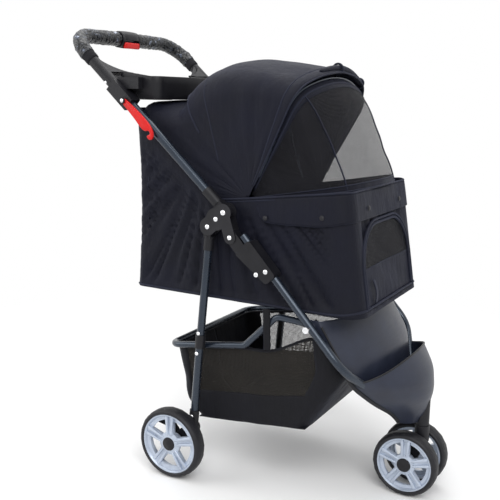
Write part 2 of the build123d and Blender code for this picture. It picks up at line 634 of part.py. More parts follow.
# Rear legs, axle and brakes

def add_rear_legs():
    half = FRAME_HALF
    dx = REAR_LEG_BEND[0] - REAR_PIVOT_X
    dz = REAR_LEG_BEND[1] - REAR_PIVOT_Z
    run = hypot(dx, dz)

    def down(along, y=half):
        return (REAR_PIVOT_X + dx * along / run, y, REAR_PIVOT_Z + dz * along / run)

    bend = (REAR_LEG_BEND[0], half, REAR_LEG_BEND[1])
    foot = (REAR_LEG_FOOT[0], half, REAR_LEG_FOOT[1])
    tube = pipe([down(REAR_TUBE_START), bend, foot], [REAR_LEG_ROUND], LEG_TUBE_D, LEG_TUBE_D - 2 * TUBE_WALL)
    seat = LEG_TUBE_D + 2 * SEAT_CLEAR
    barrel = rod(REAR_PIVOT_X, REAR_PIVOT_Z, REAR_KNUCKLE_R, TUBE_INNER, TUBE_OUTER)
    barrel += slab(capsule((REAR_PIVOT_X, REAR_PIVOT_Z), side(down(REAR_SLEEVE_START)), LEG_TUBE_D / 2),
                   TUBE_INNER, TUBE_OUTER)
    sleeve = pipe([down(REAR_SLEEVE_START), down(REAR_SLEEVE_END)], [], seat + 2 * SLEEVE_WALL)
    knuckle = barrel + sleeve - pipe([down(REAR_TUBE_START), down(REAR_SLEEVE_END + OVERRUN)], [], seat)
    knuckle -= rod(REAR_PIVOT_X, REAR_PIVOT_Z, PIN_BORE, TUBE_INNER - OVERRUN, TUBE_OUTER + OVERRUN)

    lower_slope = (REAR_LEG_BEND[0] - REAR_LEG_FOOT[0]) / (REAR_LEG_BEND[1] - REAR_LEG_FOOT[1])

    def lower(z):
        return (REAR_LEG_FOOT[0] + lower_slope * (z - REAR_LEG_FOOT[1]), half, z)

    bracket = pipe([lower(BRACKET_TOP), lower(REAR_LEG_FOOT[1] - SLEEVE_WALL)], [], seat + 2 * SLEEVE_WALL)
    axle = (REAR_AXLE_X, REAR_WHEEL_R)
    arm = capsule((REAR_LEG_FOOT[0], REAR_LEG_FOOT[1]), axle, BRACKET_R) + capsule(axle, (BRAKE_X, BRAKE_Z), BRAKE_R)
    bracket += slab(arm, half - BRACKET_HALF, half + BRACKET_HALF)
    hub_face = REAR_WHEEL_Y - TYRE_WIDTH / 2 - FACE_CLEAR
    bracket += rod(axle[0], axle[1], BOSS_R, half + BRACKET_HALF, hub_face)
    bracket -= pipe([lower(BRACKET_TOP + OVERRUN), foot], [], seat)
    bracket -= rod(axle[0], axle[1], AXLE_D / 2 + SEAT_CLEAR, half - 2 * BRACKET_HALF, half + 2 * BRACKET_HALF)
    bracket -= rod(BRAKE_X, BRAKE_Z, 2 * BRAKE_R, half - BRACKET_HALF / 2, half + 2 * BRACKET_HALF)

    lever_from = half - BRACKET_HALF / 2 + FACE_CLEAR
    lever_to = half + BRACKET_HALF
    lever_tip = (BRAKE_X - BRAKE_LENGTH, BRAKE_Z + BRAKE_RISE)
    lever = slab(capsule((BRAKE_X, BRAKE_Z), lever_tip, BRAKE_R), lever_from, lever_to)
    lever -= rod(BRAKE_X, BRAKE_Z, BRAKE_PIN_D / 2 + RUN_CLEAR, lever_from, lever_to)
    bracket += rod(BRAKE_X, BRAKE_Z, BRAKE_PIN_D / 2, half - BRACKET_HALF, lever_to)

    saddle_at = run * SADDLE_AT
    saddle = pipe([down(saddle_at - SADDLE_HIGH), down(saddle_at)], [], seat + 2 * SLEEVE_WALL)
    pad_low = down(saddle_at)
    pad_high = down(saddle_at - SADDLE_HIGH)
    pad = slab(capsule(side(pad_high), side(pad_low), SADDLE_PAD_R), RAIL_HALF + RAIL_D / 2 + FACE_CLEAR, half)
    saddle = saddle + pad - pipe([down(saddle_at - 2 * SADDLE_HIGH), down(saddle_at + SADDLE_HIGH)], [], seat)
    stub = rod(axle[0], axle[1], AXLE_D / 2, half - BRACKET_HALF, REAR_WHEEL_Y + RIM_WIDTH / 2 + AXLE_PROUD)
    pieces = (("rear_leg", tube), ("rear_knuckle", knuckle), ("wheel_bracket", bracket),
              ("brake_lever", lever), ("rail_saddle", saddle), ("rear_axle", stub))
    for name, sign in SIDES.items():
        for node, solid in pieces:
            PARTS[f"{node}_{name}"] = solid if sign > 0 else flip(solid)


# Basket

def basket_solid(side_points, inset, corner):
    """The basket's side view given its width, with round corners at the rear."""
    half = BASKET_HALF - inset
    face = outline(side_points)
    if inset:
        face = offset(face, -inset, kind=Kind.INTERSECTION)
    solid = slab(face, -half, half)
    rear_x = min(point[0] for point in side_points)
    rear = [e for e in solid.edges() if e.center().X < rear_x + corner and abs((e % 0).Z) > 0.9]
    return fillet(rear, corner - inset)


def add_basket():
    eye = side(leg_at(CATCH_AT))
    start = (eye[0] - RAIL_TUBE_START, eye[1])
    right = [(x, -RAIL_HALF, z) for x, z in (start,) + RAIL_BENDS]
    left = [(x, RAIL_HALF, z) for x, z in reversed((start,) + RAIL_BENDS)]
    radii = list(RAIL_RADII) + list(reversed(RAIL_RADII))
    rail = pipe(right + left, radii, RAIL_D)
    for sign in SIDES.values():
        low = sign * (RAIL_HALF - RAIL_D / 2)
        high = sign * (RAIL_HALF + RAIL_D / 2)
        rail += rod(eye[0], eye[1], RAIL_EYE_R, low, high)
    rail -= rod(eye[0], eye[1], PIN_D / 2 + RUN_CLEAR, -2 * RAIL_HALF, 2 * RAIL_HALF)
    PARTS["basket_rail"] = rail

    rear_x = RAIL_BENDS[2][0] + RAIL_D / 2 + FACE_CLEAR
    rear = (rear_x, RAIL_BENDS[2][1])
    knee = RAIL_BENDS[1]
    basket_side = (rear,) + BASKET_LOW + (knee,)
    corner = RAIL_RADII[2] - RAIL_D / 2 - FACE_CLEAR
    outer = basket_solid(basket_side, 0, corner)
    hollow = basket_solid(basket_side, BASKET_CLOTH, corner)
    mouth_from = (rear_x + 2 * BASKET_CLOTH, rear[1] - 2 * BASKET_CLOTH)
    mouth_to = (BASKET_LOW[-1][0], BASKET_LOW[-1][1] - 2 * BASKET_CLOTH)
    opening = outline([mouth_from, (mouth_from[0], mouth_from[1] + OPEN_TOP),
                       (mouth_to[0], mouth_to[1] + OPEN_TOP), mouth_to, (knee[0], knee[1] - 2 * BASKET_CLOTH)])
    width = BASKET_HALF - BASKET_CLOTH
    mouth = slab(opening, -width, width)
    PARTS["basket"] = outer - hollow - (mouth & basket_solid(basket_side, 0, corner))


# Cabin and hood

def cabin_side(grow=0.0, raise_top=0.0):
    """Side outline of the cabin below the handle's line, grown outwards and with its open front raised."""
    front_shift = (CABIN_FRONT_LOW_X - CABIN_RIM[0]) / (CABIN_RIM[1] - CABIN_FLOOR_Z)
    rear = CABIN_REAR_X - grow
    floor = CABIN_FLOOR_Z - grow
    low_front = CABIN_FRONT_LOW_X + grow * (1 + front_shift)
    rim_x = CABIN_RIM[0] + grow - raise_top * front_shift
    lean = radians(HANDLE_LEAN)
    wall_z = PIVOT_Z + (grow - WALL_DROP) / cos(lean)
    rear_top = wall_z + (PIVOT_X - rear) * tan(lean)
    foot_x = PIVOT_X - (HOOD_Z - wall_z) / tan(lean)
    return [(rear, floor), (rear, rear_top), (foot_x, HOOD_Z), (HOOD_X, HOOD_Z),
            (HOOD_X + OVERRUN, HOOD_Z + raise_top), (rim_x, CABIN_RIM[1] + raise_top), (low_front, floor)]


def cabin_solid(grow=0.0, raise_top=0.0):
    """The cabin below the handle's line, with round upright corners."""
    half = CABIN_HALF + grow
    solid = slab(outline(cabin_side(grow, raise_top)), -half, half)
    fronts = [e for e in solid.edges() if e.center().X > CABIN_RIM[0] - CABIN_CORNER and abs((e % 0).Z) > 0.9]
    solid = fillet(fronts, CABIN_CORNER + grow)
    rears = [e for e in solid.edges() if e.center().X < CABIN_REAR_X + CLOTH + OVERRUN and abs((e % 0).Z) > 0.9]
    return fillet(rears, CABIN_REAR_CORNER + grow)


def front_lean():
    return degrees(atan2(CABIN_FRONT_LOW_X - CABIN_RIM[0], CABIN_RIM[1] - CABIN_FLOOR_Z))


def front_x(z):
    share = (z - CABIN_FLOOR_Z) / (CABIN_RIM[1] - CABIN_FLOOR_Z)
    return CABIN_FRONT_LOW_X + share * (CABIN_RIM[0] - CABIN_FRONT_LOW_X)


def door_plane():
    """A plane on the cabin's front face: local x is left, local y is up the face, normal outwards."""
    lean = radians(front_lean())
    return Plane(origin=(front_x(DOOR_LOW), 0, DOOR_LOW), x_dir=(0, 1, 0), z_dir=(cos(lean), 0, sin(lean)))


def door_shape(shrink=0.0):
    height = (DOOR_HIGH - DOOR_LOW) / cos(radians(front_lean()))
    half = DOOR_HALF - shrink
    sketch = Pos(0, height / 2) * Rectangle(2 * half, height - 2 * shrink)
    upper = sketch.vertices().group_by(Axis.Y)[-1]
    return fillet(upper, DOOR_CORNER - shrink)


def arch_edges(half, top, low, corner):
    """Edges of an arch in (y, radius): straight sides, round corners and a crown, left to right."""
    turn = radians(HOOD_TURN)
    crown_r = (half - corner + corner * cos(turn)) / cos(turn)
    centre = top - crown_r + (crown_r - corner) * sin(turn)
    shoulder = (half - corner + corner * cos(turn), centre + corner * sin(turn))
    bend = (half - corner + corner * cos(turn / 2), centre + corner * sin(turn / 2))
    left_low, left_high = (half, low), (half, centre)
    right_low, right_high = (-half, low), (-half, centre)
    return (Line(left_low, left_high) + ThreePointArc(left_high, bend, shoulder)
            + ThreePointArc(shoulder, (0, top), (-shoulder[0], shoulder[1]))
            + ThreePointArc((-shoulder[0], shoulder[1]), (-bend[0], bend[1]), right_high)
            + Line(right_high, right_low))


def arch_face(half, top, low, corner):
    return make_face(arch_edges(half, top, low, corner) + Line((-half, low), (half, low)))


def hood_plane(angle):
    """The plane through the hood's axis at an angle: local x is left, local y is outwards."""
    outward = (cos(radians(angle)), 0, sin(radians(angle)))
    normal = Vector(0, 1, 0).cross(Vector(*outward))
    return Plane(origin=(HOOD_X, 0, HOOD_Z), x_dir=(0, 1, 0), z_dir=normal)


def enclosure(grow=0.0, raise_top=0.0):
    """Everything that cloth encloses behind the front bow: the cabin and the drum of the hood above it."""
    half = CABIN_HALF + grow
    axis = Axis((HOOD_X, 0, HOOD_Z), (0, -1, 0))
    face = arch_face(half, HOOD_R + grow, 0, HOOD_CORNER + grow)
    drum = revolve(hood_plane(HOOD_FRONT) * face, axis, 180 - HOOD_FRONT)
    rear = CABIN_REAR_X - grow
    length = HOOD_X + HOOD_R - rear
    room = Pos(rear + length / 2, 0, HOOD_Z + HOOD_R / 2) * Box(length, 4 * CABIN_HALF, 4 * HOOD_R)
    return cabin_solid(grow, raise_top) + (drum & room)


def canopy_side():
    """Side view of all that lies above the seam: up the handle's line, and forward to the front bow."""
    far = 2 * HOOD_R
    return [side(handle_at(far, 0, -SEAM_DROP)), side(handle_at(SEAM_FOOT, 0, -SEAM_DROP)), (HOOD_X, HOOD_Z),
            side(hood_at(HOOD_FRONT, far)), (HOOD_X, HOOD_Z + 2 * far)]


def add_cabin():
    shell = enclosure() - enclosure(-CLOTH, OPEN_TOP)
    upper = slab(outline(canopy_side()), -2 * CABIN_HALF, 2 * CABIN_HALF)
    doorway = extrude(door_plane() * door_shape(), -2 * CLOTH) + extrude(door_plane() * door_shape(), CLOTH)
    PARTS["canopy"] = shell & upper
    PARTS["cabin_shell"] = shell - upper - doorway

    door = extrude(door_plane() * door_shape(SOFT_CLEAR), -DOOR_THICKNESS)
    PARTS["front_door"] = door

    near = SOFT_CLEAR / 2
    band = cabin_solid(near + CUFF_THICKNESS) - cabin_solid(near, OPEN_TOP)
    far_x = CABIN_FRONT_LOW_X + CABIN_CORNER
    rise = (CABIN_RIM[1] - HOOD_Z) / (CABIN_RIM[0] - HOOD_X)
    cut = [(CUFF_REAR_X, CUFF_LOW_REAR), (CABIN_RIM[0] - CABIN_CORNER, CUFF_LOW_FRONT), (far_x, CUFF_LOW_FRONT),
           (far_x, CABIN_RIM[1] - CUFF_GAP), (CABIN_RIM[0], CABIN_RIM[1] - CUFF_GAP),
           (CUFF_REAR_X, HOOD_Z + rise * (CUFF_REAR_X - HOOD_X) - CUFF_GAP)]
    PARTS["front_cuff"] = band & slab(outline(cut), -2 * CABIN_HALF, 2 * CABIN_HALF)

    inset = CLOTH + SOFT_CLEAR
    board_z = CABIN_FLOOR_Z + CLOTH + BOARD_THICKNESS / 2
    length = CABIN_FRONT_LOW_X - CABIN_REAR_X - 2 * (BOARD_INSET + inset)
    middle = (CABIN_FRONT_LOW_X + CABIN_REAR_X) / 2
    board = RectangleRounded(length, 2 * (CABIN_HALF - inset - BOARD_INSET), CABIN_CORNER / 2)
    low = Plane.XY.offset(board_z - BOARD_THICKNESS / 2)
    PARTS["floor_board"] = extrude(low * (Pos(middle, 0) * board), BOARD_THICKNESS)


def add_hood():
    bow_half = CABIN_HALF - CLOTH - SOFT_CLEAR - BOW_D / 2
    bow_top = HOOD_R - CLOTH - SOFT_CLEAR - BOW_D / 2
    bow_corner = HOOD_CORNER - CLOTH - BOW_D / 2
    for node, angle in (("front_bow", HOOD_FRONT + BOW_SET), ("rear_bow", REAR_BOW)):
        path = hood_plane(angle) * Wire(arch_edges(bow_half, bow_top, BOW_FOOT, bow_corner).edges())
        start = Plane(origin=path @ 0, z_dir=path % 0)
        PARTS[node] = sweep(start * Circle(BOW_D / 2), path=path)

    low = VISOR_EDGE
    outer_faces = []
    inner_faces = []
    for angle, radius in VISOR_LEVELS:
        plane = hood_plane(angle)
        inner_low = low / 2
        outer_faces.append(plane * arch_face(VISOR_HALF, radius, low, VISOR_CORNER))
        inner_faces.append(plane * arch_face(VISOR_HALF - VISOR_CLOTH, radius - VISOR_CLOTH, inner_low,
                                             VISOR_CORNER - VISOR_CLOTH))
    visor = loft(outer_faces) - loft(inner_faces)
    bore = VISOR_PIN_D / 2 + RUN_CLEAR
    pins = []
    for sign in SIDES.values():
        wall = sign * (VISOR_HALF - VISOR_CLOTH)
        visor += rod(HOOD_X, HOOD_Z, VISOR_BOSS_R, wall, sign * VISOR_HALF)
        visor -= rod(HOOD_X, HOOD_Z, bore, sign * VISOR_HALF / 2, sign * CABIN_HALF)
        pin = rod(HOOD_X, HOOD_Z, VISOR_PIN_D / 2, wall - sign * OVERRUN, sign * (CABIN_HALF - CLOTH))
        pins.append(pin)
    PARTS["visor"] = visor
    PARTS["visor_pins"] = group(pins)


add_wheels()
add_handle()
add_tray()
add_hook()
add_front_legs()
add_hinges()
add_front_shell()
add_caster()
add_rear_legs()
add_basket()
add_cabin()
add_hood()

# The parts are stored with the middle of the overall length at x = 0
front_end = FRONT_AXLE_X + FRONT_WHEEL_R
rear_end = handle_at(HANDLE_REACH)[0] - HOUSING_D / 2
centre = Pos(-(front_end + rear_end) / 2, 0, 0)
os.makedirs("parts", exist_ok=True)
for node, solid in PARTS.items():
    export_step(centre * solid, f"parts/{node}.step")
print(len(PARTS), "nodes")
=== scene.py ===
import bpy
from math import atan2, cos, pi, radians, sin, sqrt
from mathutils import Matrix, Vector, noise


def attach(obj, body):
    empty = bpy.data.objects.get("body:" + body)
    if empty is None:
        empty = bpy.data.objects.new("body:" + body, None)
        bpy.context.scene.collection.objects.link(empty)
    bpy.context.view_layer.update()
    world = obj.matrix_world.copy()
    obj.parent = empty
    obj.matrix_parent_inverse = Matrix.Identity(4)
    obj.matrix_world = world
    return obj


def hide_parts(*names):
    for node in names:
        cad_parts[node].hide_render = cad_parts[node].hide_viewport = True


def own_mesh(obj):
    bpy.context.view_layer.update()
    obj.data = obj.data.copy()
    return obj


# The stroller's outside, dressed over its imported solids.
# Sizes are in millimetres of the drawing, +X forward, +Y the stroller's left, +Z up.

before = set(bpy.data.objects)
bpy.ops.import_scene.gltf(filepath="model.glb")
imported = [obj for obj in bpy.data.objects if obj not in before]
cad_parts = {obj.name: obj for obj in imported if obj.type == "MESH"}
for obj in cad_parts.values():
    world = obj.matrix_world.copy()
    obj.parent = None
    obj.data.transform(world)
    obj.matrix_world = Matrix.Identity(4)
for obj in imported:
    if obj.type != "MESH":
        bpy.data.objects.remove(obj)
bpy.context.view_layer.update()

MM = 0.001
LEAN = radians(41.6)  # handle above the horizontal
LEG_LEAN = radians(47.1)  # front legs below it
PIVOT_X, PIVOT_Z = -7.0, 592.0  # where the handle turns on the front legs
REACH = 536.0  # from there to the grip bar
CABIN_HALF = 179.0
HOOD_X, HOOD_Z, HOOD_R = 35.0, 621.0, 290.0  # the hood's axis and the canopy's height over it
FRONT_BOW = 64.5  # degrees about that axis
NOSE_X, HOUSING_R = 415.0, 20.0  # foremost point of the wheels, radius round the grip bar
SHIFT = -(NOSE_X + PIVOT_X - REACH * cos(LEAN) - HOUSING_R) / 2  # centres the length on the frame's origin


# Small helpers

def place(x, y, z):
    """A point of the drawing in the frame's metres."""
    return Vector(((x + SHIFT) * MM, y * MM, z * MM))


def handle_at(along, y=0.0, across=0.0):
    x = PIVOT_X - along * cos(LEAN) + across * sin(LEAN)
    return (x, y, PIVOT_Z + along * sin(LEAN) + across * cos(LEAN))


def leg_at(along, y=0.0, across=0.0):
    x = PIVOT_X + along * cos(LEG_LEAN) + across * sin(LEG_LEAN)
    return (x, y, PIVOT_Z - along * sin(LEG_LEAN) + across * cos(LEG_LEAN))


def mix(a, b, share):
    return a + (b - a) * share


def smooth(share):
    share = min(1.0, max(0.0, share))
    return share * share * (3 - 2 * share)


def steps(count):
    """Shares from 0 to 1 in even steps."""
    return [k / count for k in range(count + 1)]


def along_line(stops, x):
    """Height of a line drawn through (x, height) stops."""
    if x <= stops[0][0]:
        return stops[0][1]
    for (x0, h0), (x1, h1) in zip(stops, stops[1:]):
        if x <= x1:
            return mix(h0, h1, (x - x0) / (x1 - x0))
    return stops[-1][1]


def eased(stops, x):
    """The same, rounded at the stops."""
    step = (stops[-1][0] - stops[0][0]) * 0.03
    return sum(along_line(stops, x + k * step) for k in (-2, -1, 0, 1, 2)) / 5


def ripple(a, b, seed):
    """Soft unevenness between -1 and 1."""
    return noise.noise(Vector((a, b, seed)))


def pick(*objs):
    bpy.ops.object.select_all(action="DESELECT")
    for obj in objs:
        obj.select_set(True)
    bpy.context.view_layer.objects.active = objs[0]


def added(name):
    obj = bpy.context.active_object
    obj.name = name
    obj.data.name = name
    return obj


def modify(obj, kind, **settings):
    pick(obj)
    modifier = obj.modifiers.new(kind.title(), kind)
    for key, value in settings.items():
        setattr(modifier, key, value)
    bpy.ops.object.modifier_apply(modifier=modifier.name)


def soften(obj, degrees=35):
    pick(obj)
    bpy.ops.object.shade_smooth_by_angle(angle=radians(degrees))


def joined(name, objs):
    pick(*objs)
    if len(objs) > 1:
        bpy.ops.object.join()
    return added(name)


def thicken(obj, thickness, side=-1):
    modify(obj, "SOLIDIFY", thickness=thickness * MM, offset=side)


def round_off(obj, width, segments, sharp):
    modify(obj, "BEVEL", width=width * MM, segments=segments, limit_method="ANGLE",
           angle_limit=radians(sharp))


def cut_away(obj, cutter):
    modify(obj, "BOOLEAN", object=cutter, operation="DIFFERENCE", solver="EXACT")
    bpy.data.objects.remove(cutter)


def edit_all():
    """Opens the active piece for editing, with all of it selected."""
    bpy.ops.object.mode_set(mode="EDIT")
    bpy.ops.mesh.select_all(action="SELECT")


def close_edit():
    bpy.ops.object.mode_set(mode="OBJECT")


def face_out():
    """Turns all faces of the open piece outwards."""
    bpy.ops.mesh.select_all(action="SELECT")
    bpy.ops.mesh.normals_make_consistent(inside=False)


def draw_out(by):
    """Extrudes what is selected of the open piece."""
    bpy.ops.mesh.extrude_region_move(TRANSFORM_OT_translate={"value": by})


def chain(name, points):
    """An edge chain drawn by extruding one vertex; left open for editing."""
    bpy.ops.object.select_all(action="DESELECT")
    bpy.ops.mesh.primitive_plane_add(size=MM)
    obj = added(name)
    edit_all()
    bpy.ops.mesh.merge(type="CENTER")
    bpy.ops.transform.translate(value=points[0])
    for here, there in zip(points, points[1:]):
        draw_out(there - here)
    bpy.ops.mesh.select_all(action="SELECT")
    return obj


def filled(name, points):
    """A closed outline with one face in it; left open for editing."""
    obj = chain(name, points + points[:1])
    bpy.ops.mesh.remove_doubles(threshold=1e-6)
    bpy.ops.mesh.edge_face_add()
    return obj


def plate(name, points, depth, rounding=0.0, segments=2, sharp=40):
    """A closed outline given thickness, with its sharp edges rounded."""
    obj = filled(name, points)
    draw_out(depth)
    face_out()
    if rounding:
        bpy.ops.mesh.select_all(action="DESELECT")
        bpy.ops.mesh.edges_select_sharp(sharpness=radians(sharp))
        bpy.ops.mesh.bevel(offset=rounding * MM, segments=segments, affect="EDGES")
    close_edit()
    soften(obj)
    return obj


def turned(name, profile, centre, axis, count=40):
    """A round piece spun from its (radius, height) profile about an axis."""
    axis = Vector(axis).normalized()
    out = axis.orthogonal().normalized()
    obj = chain(name, [centre + out * (r * MM) + axis * (h * MM) for r, h in profile])
    bpy.ops.mesh.spin(steps=count, angle=2 * pi, center=centre, axis=axis)
    bpy.ops.mesh.select_all(action="SELECT")
    bpy.ops.mesh.remove_doubles(threshold=2e-6)
    face_out()
    close_edit()
    soften(obj)
    return obj


def sheet_of(name, across, along, where, flat, turn_over=False):
    """A grid of squares laid point by point; its UV map is in metres of flat cloth."""
    bpy.ops.object.select_all(action="DESELECT")
    bpy.ops.mesh.primitive_grid_add(x_subdivisions=across, y_subdivisions=along, size=2, calc_uvs=True)
    obj = added(name)
    for vertex in obj.data.vertices:
        vertex.co = place(*where((vertex.co.x + 1) / 2, (vertex.co.y + 1) / 2))
    for spot in obj.data.uv_layers[0].data:
        spot.uv = (spot.uv[0] * flat[0], spot.uv[1] * flat[1])
    edit_all()
    bpy.ops.mesh.remove_doubles(threshold=2e-6)
    if turn_over:
        bpy.ops.mesh.flip_normals()
    close_edit()
    pick(obj)
    bpy.ops.object.shade_smooth()
    return obj


def cord_of(name, points, radius, closed=False, sides=3):
    """A round bead, pipe or piping along points."""
    curve = bpy.data.curves.new(name, "CURVE")
    curve.dimensions = "3D"
    curve.bevel_depth = radius * MM
    curve.bevel_resolution = sides
    curve.use_fill_caps = True
    spline = curve.splines.new("POLY")
    spline.points.add(len(points) - 1)
    for spot, point in zip(spline.points, points):
        spot.co = (*place(*point), 1)
    spline.use_cyclic_u = closed
    obj = bpy.data.objects.new(name, curve)
    bpy.context.scene.collection.objects.link(obj)
    pick(obj)
    bpy.ops.object.convert(target="MESH")
    obj = added(name)
    edit_all()
    face_out()
    close_edit()
    bpy.ops.object.shade_smooth()
    return obj


def copy_of(obj, name, mirrored=False, by=None):
    """A copy of a piece, mirrored to the stroller's other side, moved, or both."""
    pick(obj)
    bpy.ops.object.duplicate()
    copy = added(name)
    edit_all()
    if mirrored:
        bpy.ops.transform.resize(value=(1, -1, 1), center_override=(0, 0, 0))
        bpy.ops.mesh.flip_normals()
    if by is not None:
        bpy.ops.transform.translate(value=by)
    close_edit()
    return copy


# Body and material slot of the pieces that share both
CABIN = ("front_frame", "cabin_cloth")
HOOD = ("visor", "cabin_cloth")
DOOR = ("front_door", "cabin_cloth")
BASKET = ("basket_frame", "cabin_cloth")
HANDLE = ("handle_frame", "black_plastic")
SHELL = ("front_frame", "slate_plastic")


def dress(obj, finish, body, slot, *nodes):
    """Gives a piece its finish, the body it rides on and the solids it stands for."""
    obj.data.materials.clear()
    obj.data.materials.append(finish)
    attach(obj, body)
    if nodes:
        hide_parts(*nodes)
    return obj


def folds_away(obj):
    """Gives a soft piece its own copy of its mesh."""
    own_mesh(obj)


# Finishes

def finish_of(name, **sockets):
    material = bpy.data.materials.new(name)
    material.use_nodes = True
    shader = material.node_tree.nodes["Principled BSDF"]
    for key, value in sockets.items():
        shader.inputs[key.replace("_", " ")].default_value = value
    return material, material.node_tree, shader


def spot_on(tree, kind, scale=(1, 1, 1), turn=0.0):
    """Texture coordinates of a piece, in metres, stretched or turned."""
    coordinates = tree.nodes.new("ShaderNodeTexCoord")
    mapping = tree.nodes.new("ShaderNodeMapping")
    mapping.inputs["Scale"].default_value = scale
    mapping.inputs["Rotation"].default_value = (0, 0, turn)
    tree.links.new(coordinates.outputs[kind], mapping.inputs["Vector"])
    return mapping.outputs["Vector"]


def cloud(tree, where, scale, detail=3.0, rough=0.55):
    node = tree.nodes.new("ShaderNodeTexNoise")
    node.inputs["Scale"].default_value = scale
    node.inputs["Detail"].default_value = detail
    node.inputs["Roughness"].default_value = rough
    tree.links.new(where, node.inputs["Vector"])
    return node.outputs["Fac"]


def thread(tree, where, direction, pitch):
    """Bands a pitch apart, in metres."""
    node = tree.nodes.new("ShaderNodeTexWave")
    node.bands_direction = direction
    node.inputs["Scale"].default_value = 2 * pi / 20 / pitch
    tree.links.new(where, node.inputs["Vector"])
    return node.outputs["Fac"]


def sum_of(tree, action, a, b):
    node = tree.nodes.new("ShaderNodeMath")
    node.operation = action
    for socket, value in zip(node.inputs, (a, b)):
        if isinstance(value, (int, float)):
            socket.default_value = value
        else:
            tree.links.new(value, socket)
    return node.outputs[0]


def weighed(tree, a, share_a, b, share_b):
    """Two patterns added, each by its share."""
    return sum_of(tree, "ADD", sum_of(tree, "MULTIPLY", a, share_a), sum_of(tree, "MULTIPLY", b, share_b))


def graded(tree, factor, stops):
    """Colours along a factor."""
    node = tree.nodes.new("ShaderNodeValToRGB")
    while len(node.color_ramp.elements) < len(stops):
        node.color_ramp.elements.new(0.5)
    for element, (at, colour) in zip(node.color_ramp.elements, stops):
        element.position = at
        element.color = (*colour, 1)
    tree.links.new(factor, node.inputs["Fac"])
    return node.outputs["Color"]


def grey(value):
    return (value, value, value)


def shades(tree, factor, low, high):
    """Greys from low to high along a factor."""
    return graded(tree, factor, [(0.3, grey(low)), (0.7, grey(high))])


def raised(tree, shader, heights):
    """Bumps one after another, each (height, strength, distance in metres)."""
    normal = None
    for height, strength, distance in heights:
        node = tree.nodes.new("ShaderNodeBump")
        node.inputs["Strength"].default_value = strength
        node.inputs["Distance"].default_value = distance
        tree.links.new(height, node.inputs["Height"])
        if normal:
            tree.links.new(normal, node.inputs["Normal"])
        normal = node.outputs["Normal"]
    tree.links.new(normal, shader.inputs["Normal"])


def coloured(tree, shader, colour, roughness=None):
    tree.links.new(colour, shader.inputs["Base Color"])
    if roughness:
        tree.links.new(roughness, shader.inputs["Roughness"])


def canvas(name, dark, light, pitch=0.0011):
    """Woven cabin cloth: plain weave, creases, faded patches and a bluish sheen."""
    material, tree, shader = finish_of(name, Sheen_Weight=0.05, Sheen_Roughness=0.4,
                                       Sheen_Tint=(0.55, 0.62, 1.0, 1), Specular_IOR_Level=0.16)
    flat = spot_on(tree, "UV")
    weave = sum_of(tree, "MULTIPLY", thread(tree, flat, "X", pitch), thread(tree, flat, "Y", pitch))
    patches = cloud(tree, spot_on(tree, "Object"), 9.0, 4)
    creases = cloud(tree, spot_on(tree, "Object", (60, 60, 9)), 1.0, 5, 0.6)
    tone = weighed(tree, patches, 0.75, weave, 0.3)
    shine = shades(tree, patches, 0.54, 0.72)
    coloured(tree, shader, graded(tree, tone, [(0.25, dark), (0.75, light)]), shine)
    raised(tree, shader, [(creases, 0.5, 0.005), (weave, 0.5, 0.0003)])
    return material


def net(name, thread_share, colour, pitch=0.0026):
    """See-through mesh: round threads both ways with open holes between them."""
    material, tree, shader = finish_of(name, Specular_IOR_Level=0.15, Sheen_Weight=0.03)
    flat = spot_on(tree, "UV", turn=radians(8))
    knit = sum_of(tree, "MAXIMUM", thread(tree, flat, "X", pitch), thread(tree, flat, "Y", pitch))
    edge = 0.5 + sin(pi * (0.5 - thread_share)) / 2
    holes = graded(tree, knit, [(edge - 0.04, grey(0.16)), (edge + 0.04, grey(1.0))])
    patches = cloud(tree, spot_on(tree, "Object"), 14.0, 3)
    paler = tuple(1.7 * part for part in colour)
    shine = shades(tree, patches, 0.55, 0.7)
    coloured(tree, shader, graded(tree, patches, [(0.3, colour), (0.7, paler)]), shine)
    tree.links.new(holes, shader.inputs["Alpha"])
    raised(tree, shader, [(knit, 0.5, 0.0005)])
    return material


def moulded(name, dark, light, low, high, grain=0.35, **sockets):
    """Moulded plastic or paint: fine grain, worn patches and faint flow marks."""
    material, tree, shader = finish_of(name, **sockets)
    body = spot_on(tree, "Object")
    patches = cloud(tree, body, 22.0, 5, 0.6)
    pores = cloud(tree, body, 1400.0, 2)
    flow = cloud(tree, spot_on(tree, "Object", (40, 40, 260)), 1.0, 3)
    wear = weighed(tree, patches, 0.7, pores, 0.3)
    polish = weighed(tree, patches, 0.6, flow, 0.4)
    coloured(tree, shader, graded(tree, wear, [(0.35, dark), (0.65, light)]), shades(tree, polish, low, high))
    raised(tree, shader, [(flow, 0.06, 0.002), (pores, grain, 0.0003)])
    return material


def wrapped_film():
    """Clear film crumpled round the grips, with the black foam under it; bright highlights are painted into
    its colour.
    """
    material, tree, shader = finish_of("crumpled_film", Specular_IOR_Level=0.35, Coat_Weight=0.12,
                                       Coat_Roughness=0.08)
    body = spot_on(tree, "Object")
    cells = tree.nodes.new("ShaderNodeTexVoronoi")
    cells.feature = "DISTANCE_TO_EDGE"
    cells.inputs["Scale"].default_value = 70.0
    tree.links.new(body, cells.inputs["Vector"])
    crumple = cloud(tree, spot_on(tree, "Object", (1, 1, 1.6), 0.6), 62.0, 4, 0.6)
    facets = sum_of(tree, "ADD", sum_of(tree, "MULTIPLY", cells.outputs["Distance"], 1.6), crumple)
    # Painted highlights: the film's colour turns bluish white where the crumple pattern is high.
    painted_glints = graded(tree, crumple, [(0.52, (0.004, 0.005, 0.007)), (0.60, (0.018, 0.022, 0.032)),
                                    (0.66, (0.15, 0.18, 0.25)), (0.71, (0.55, 0.60, 0.70))])
    coloured(tree, shader, painted_glints, graded(tree, crumple, [(0.4, grey(0.22)), (0.65, grey(0.38))]))
    raised(tree, shader, [(facets, 0.6, 0.004)])
    return material


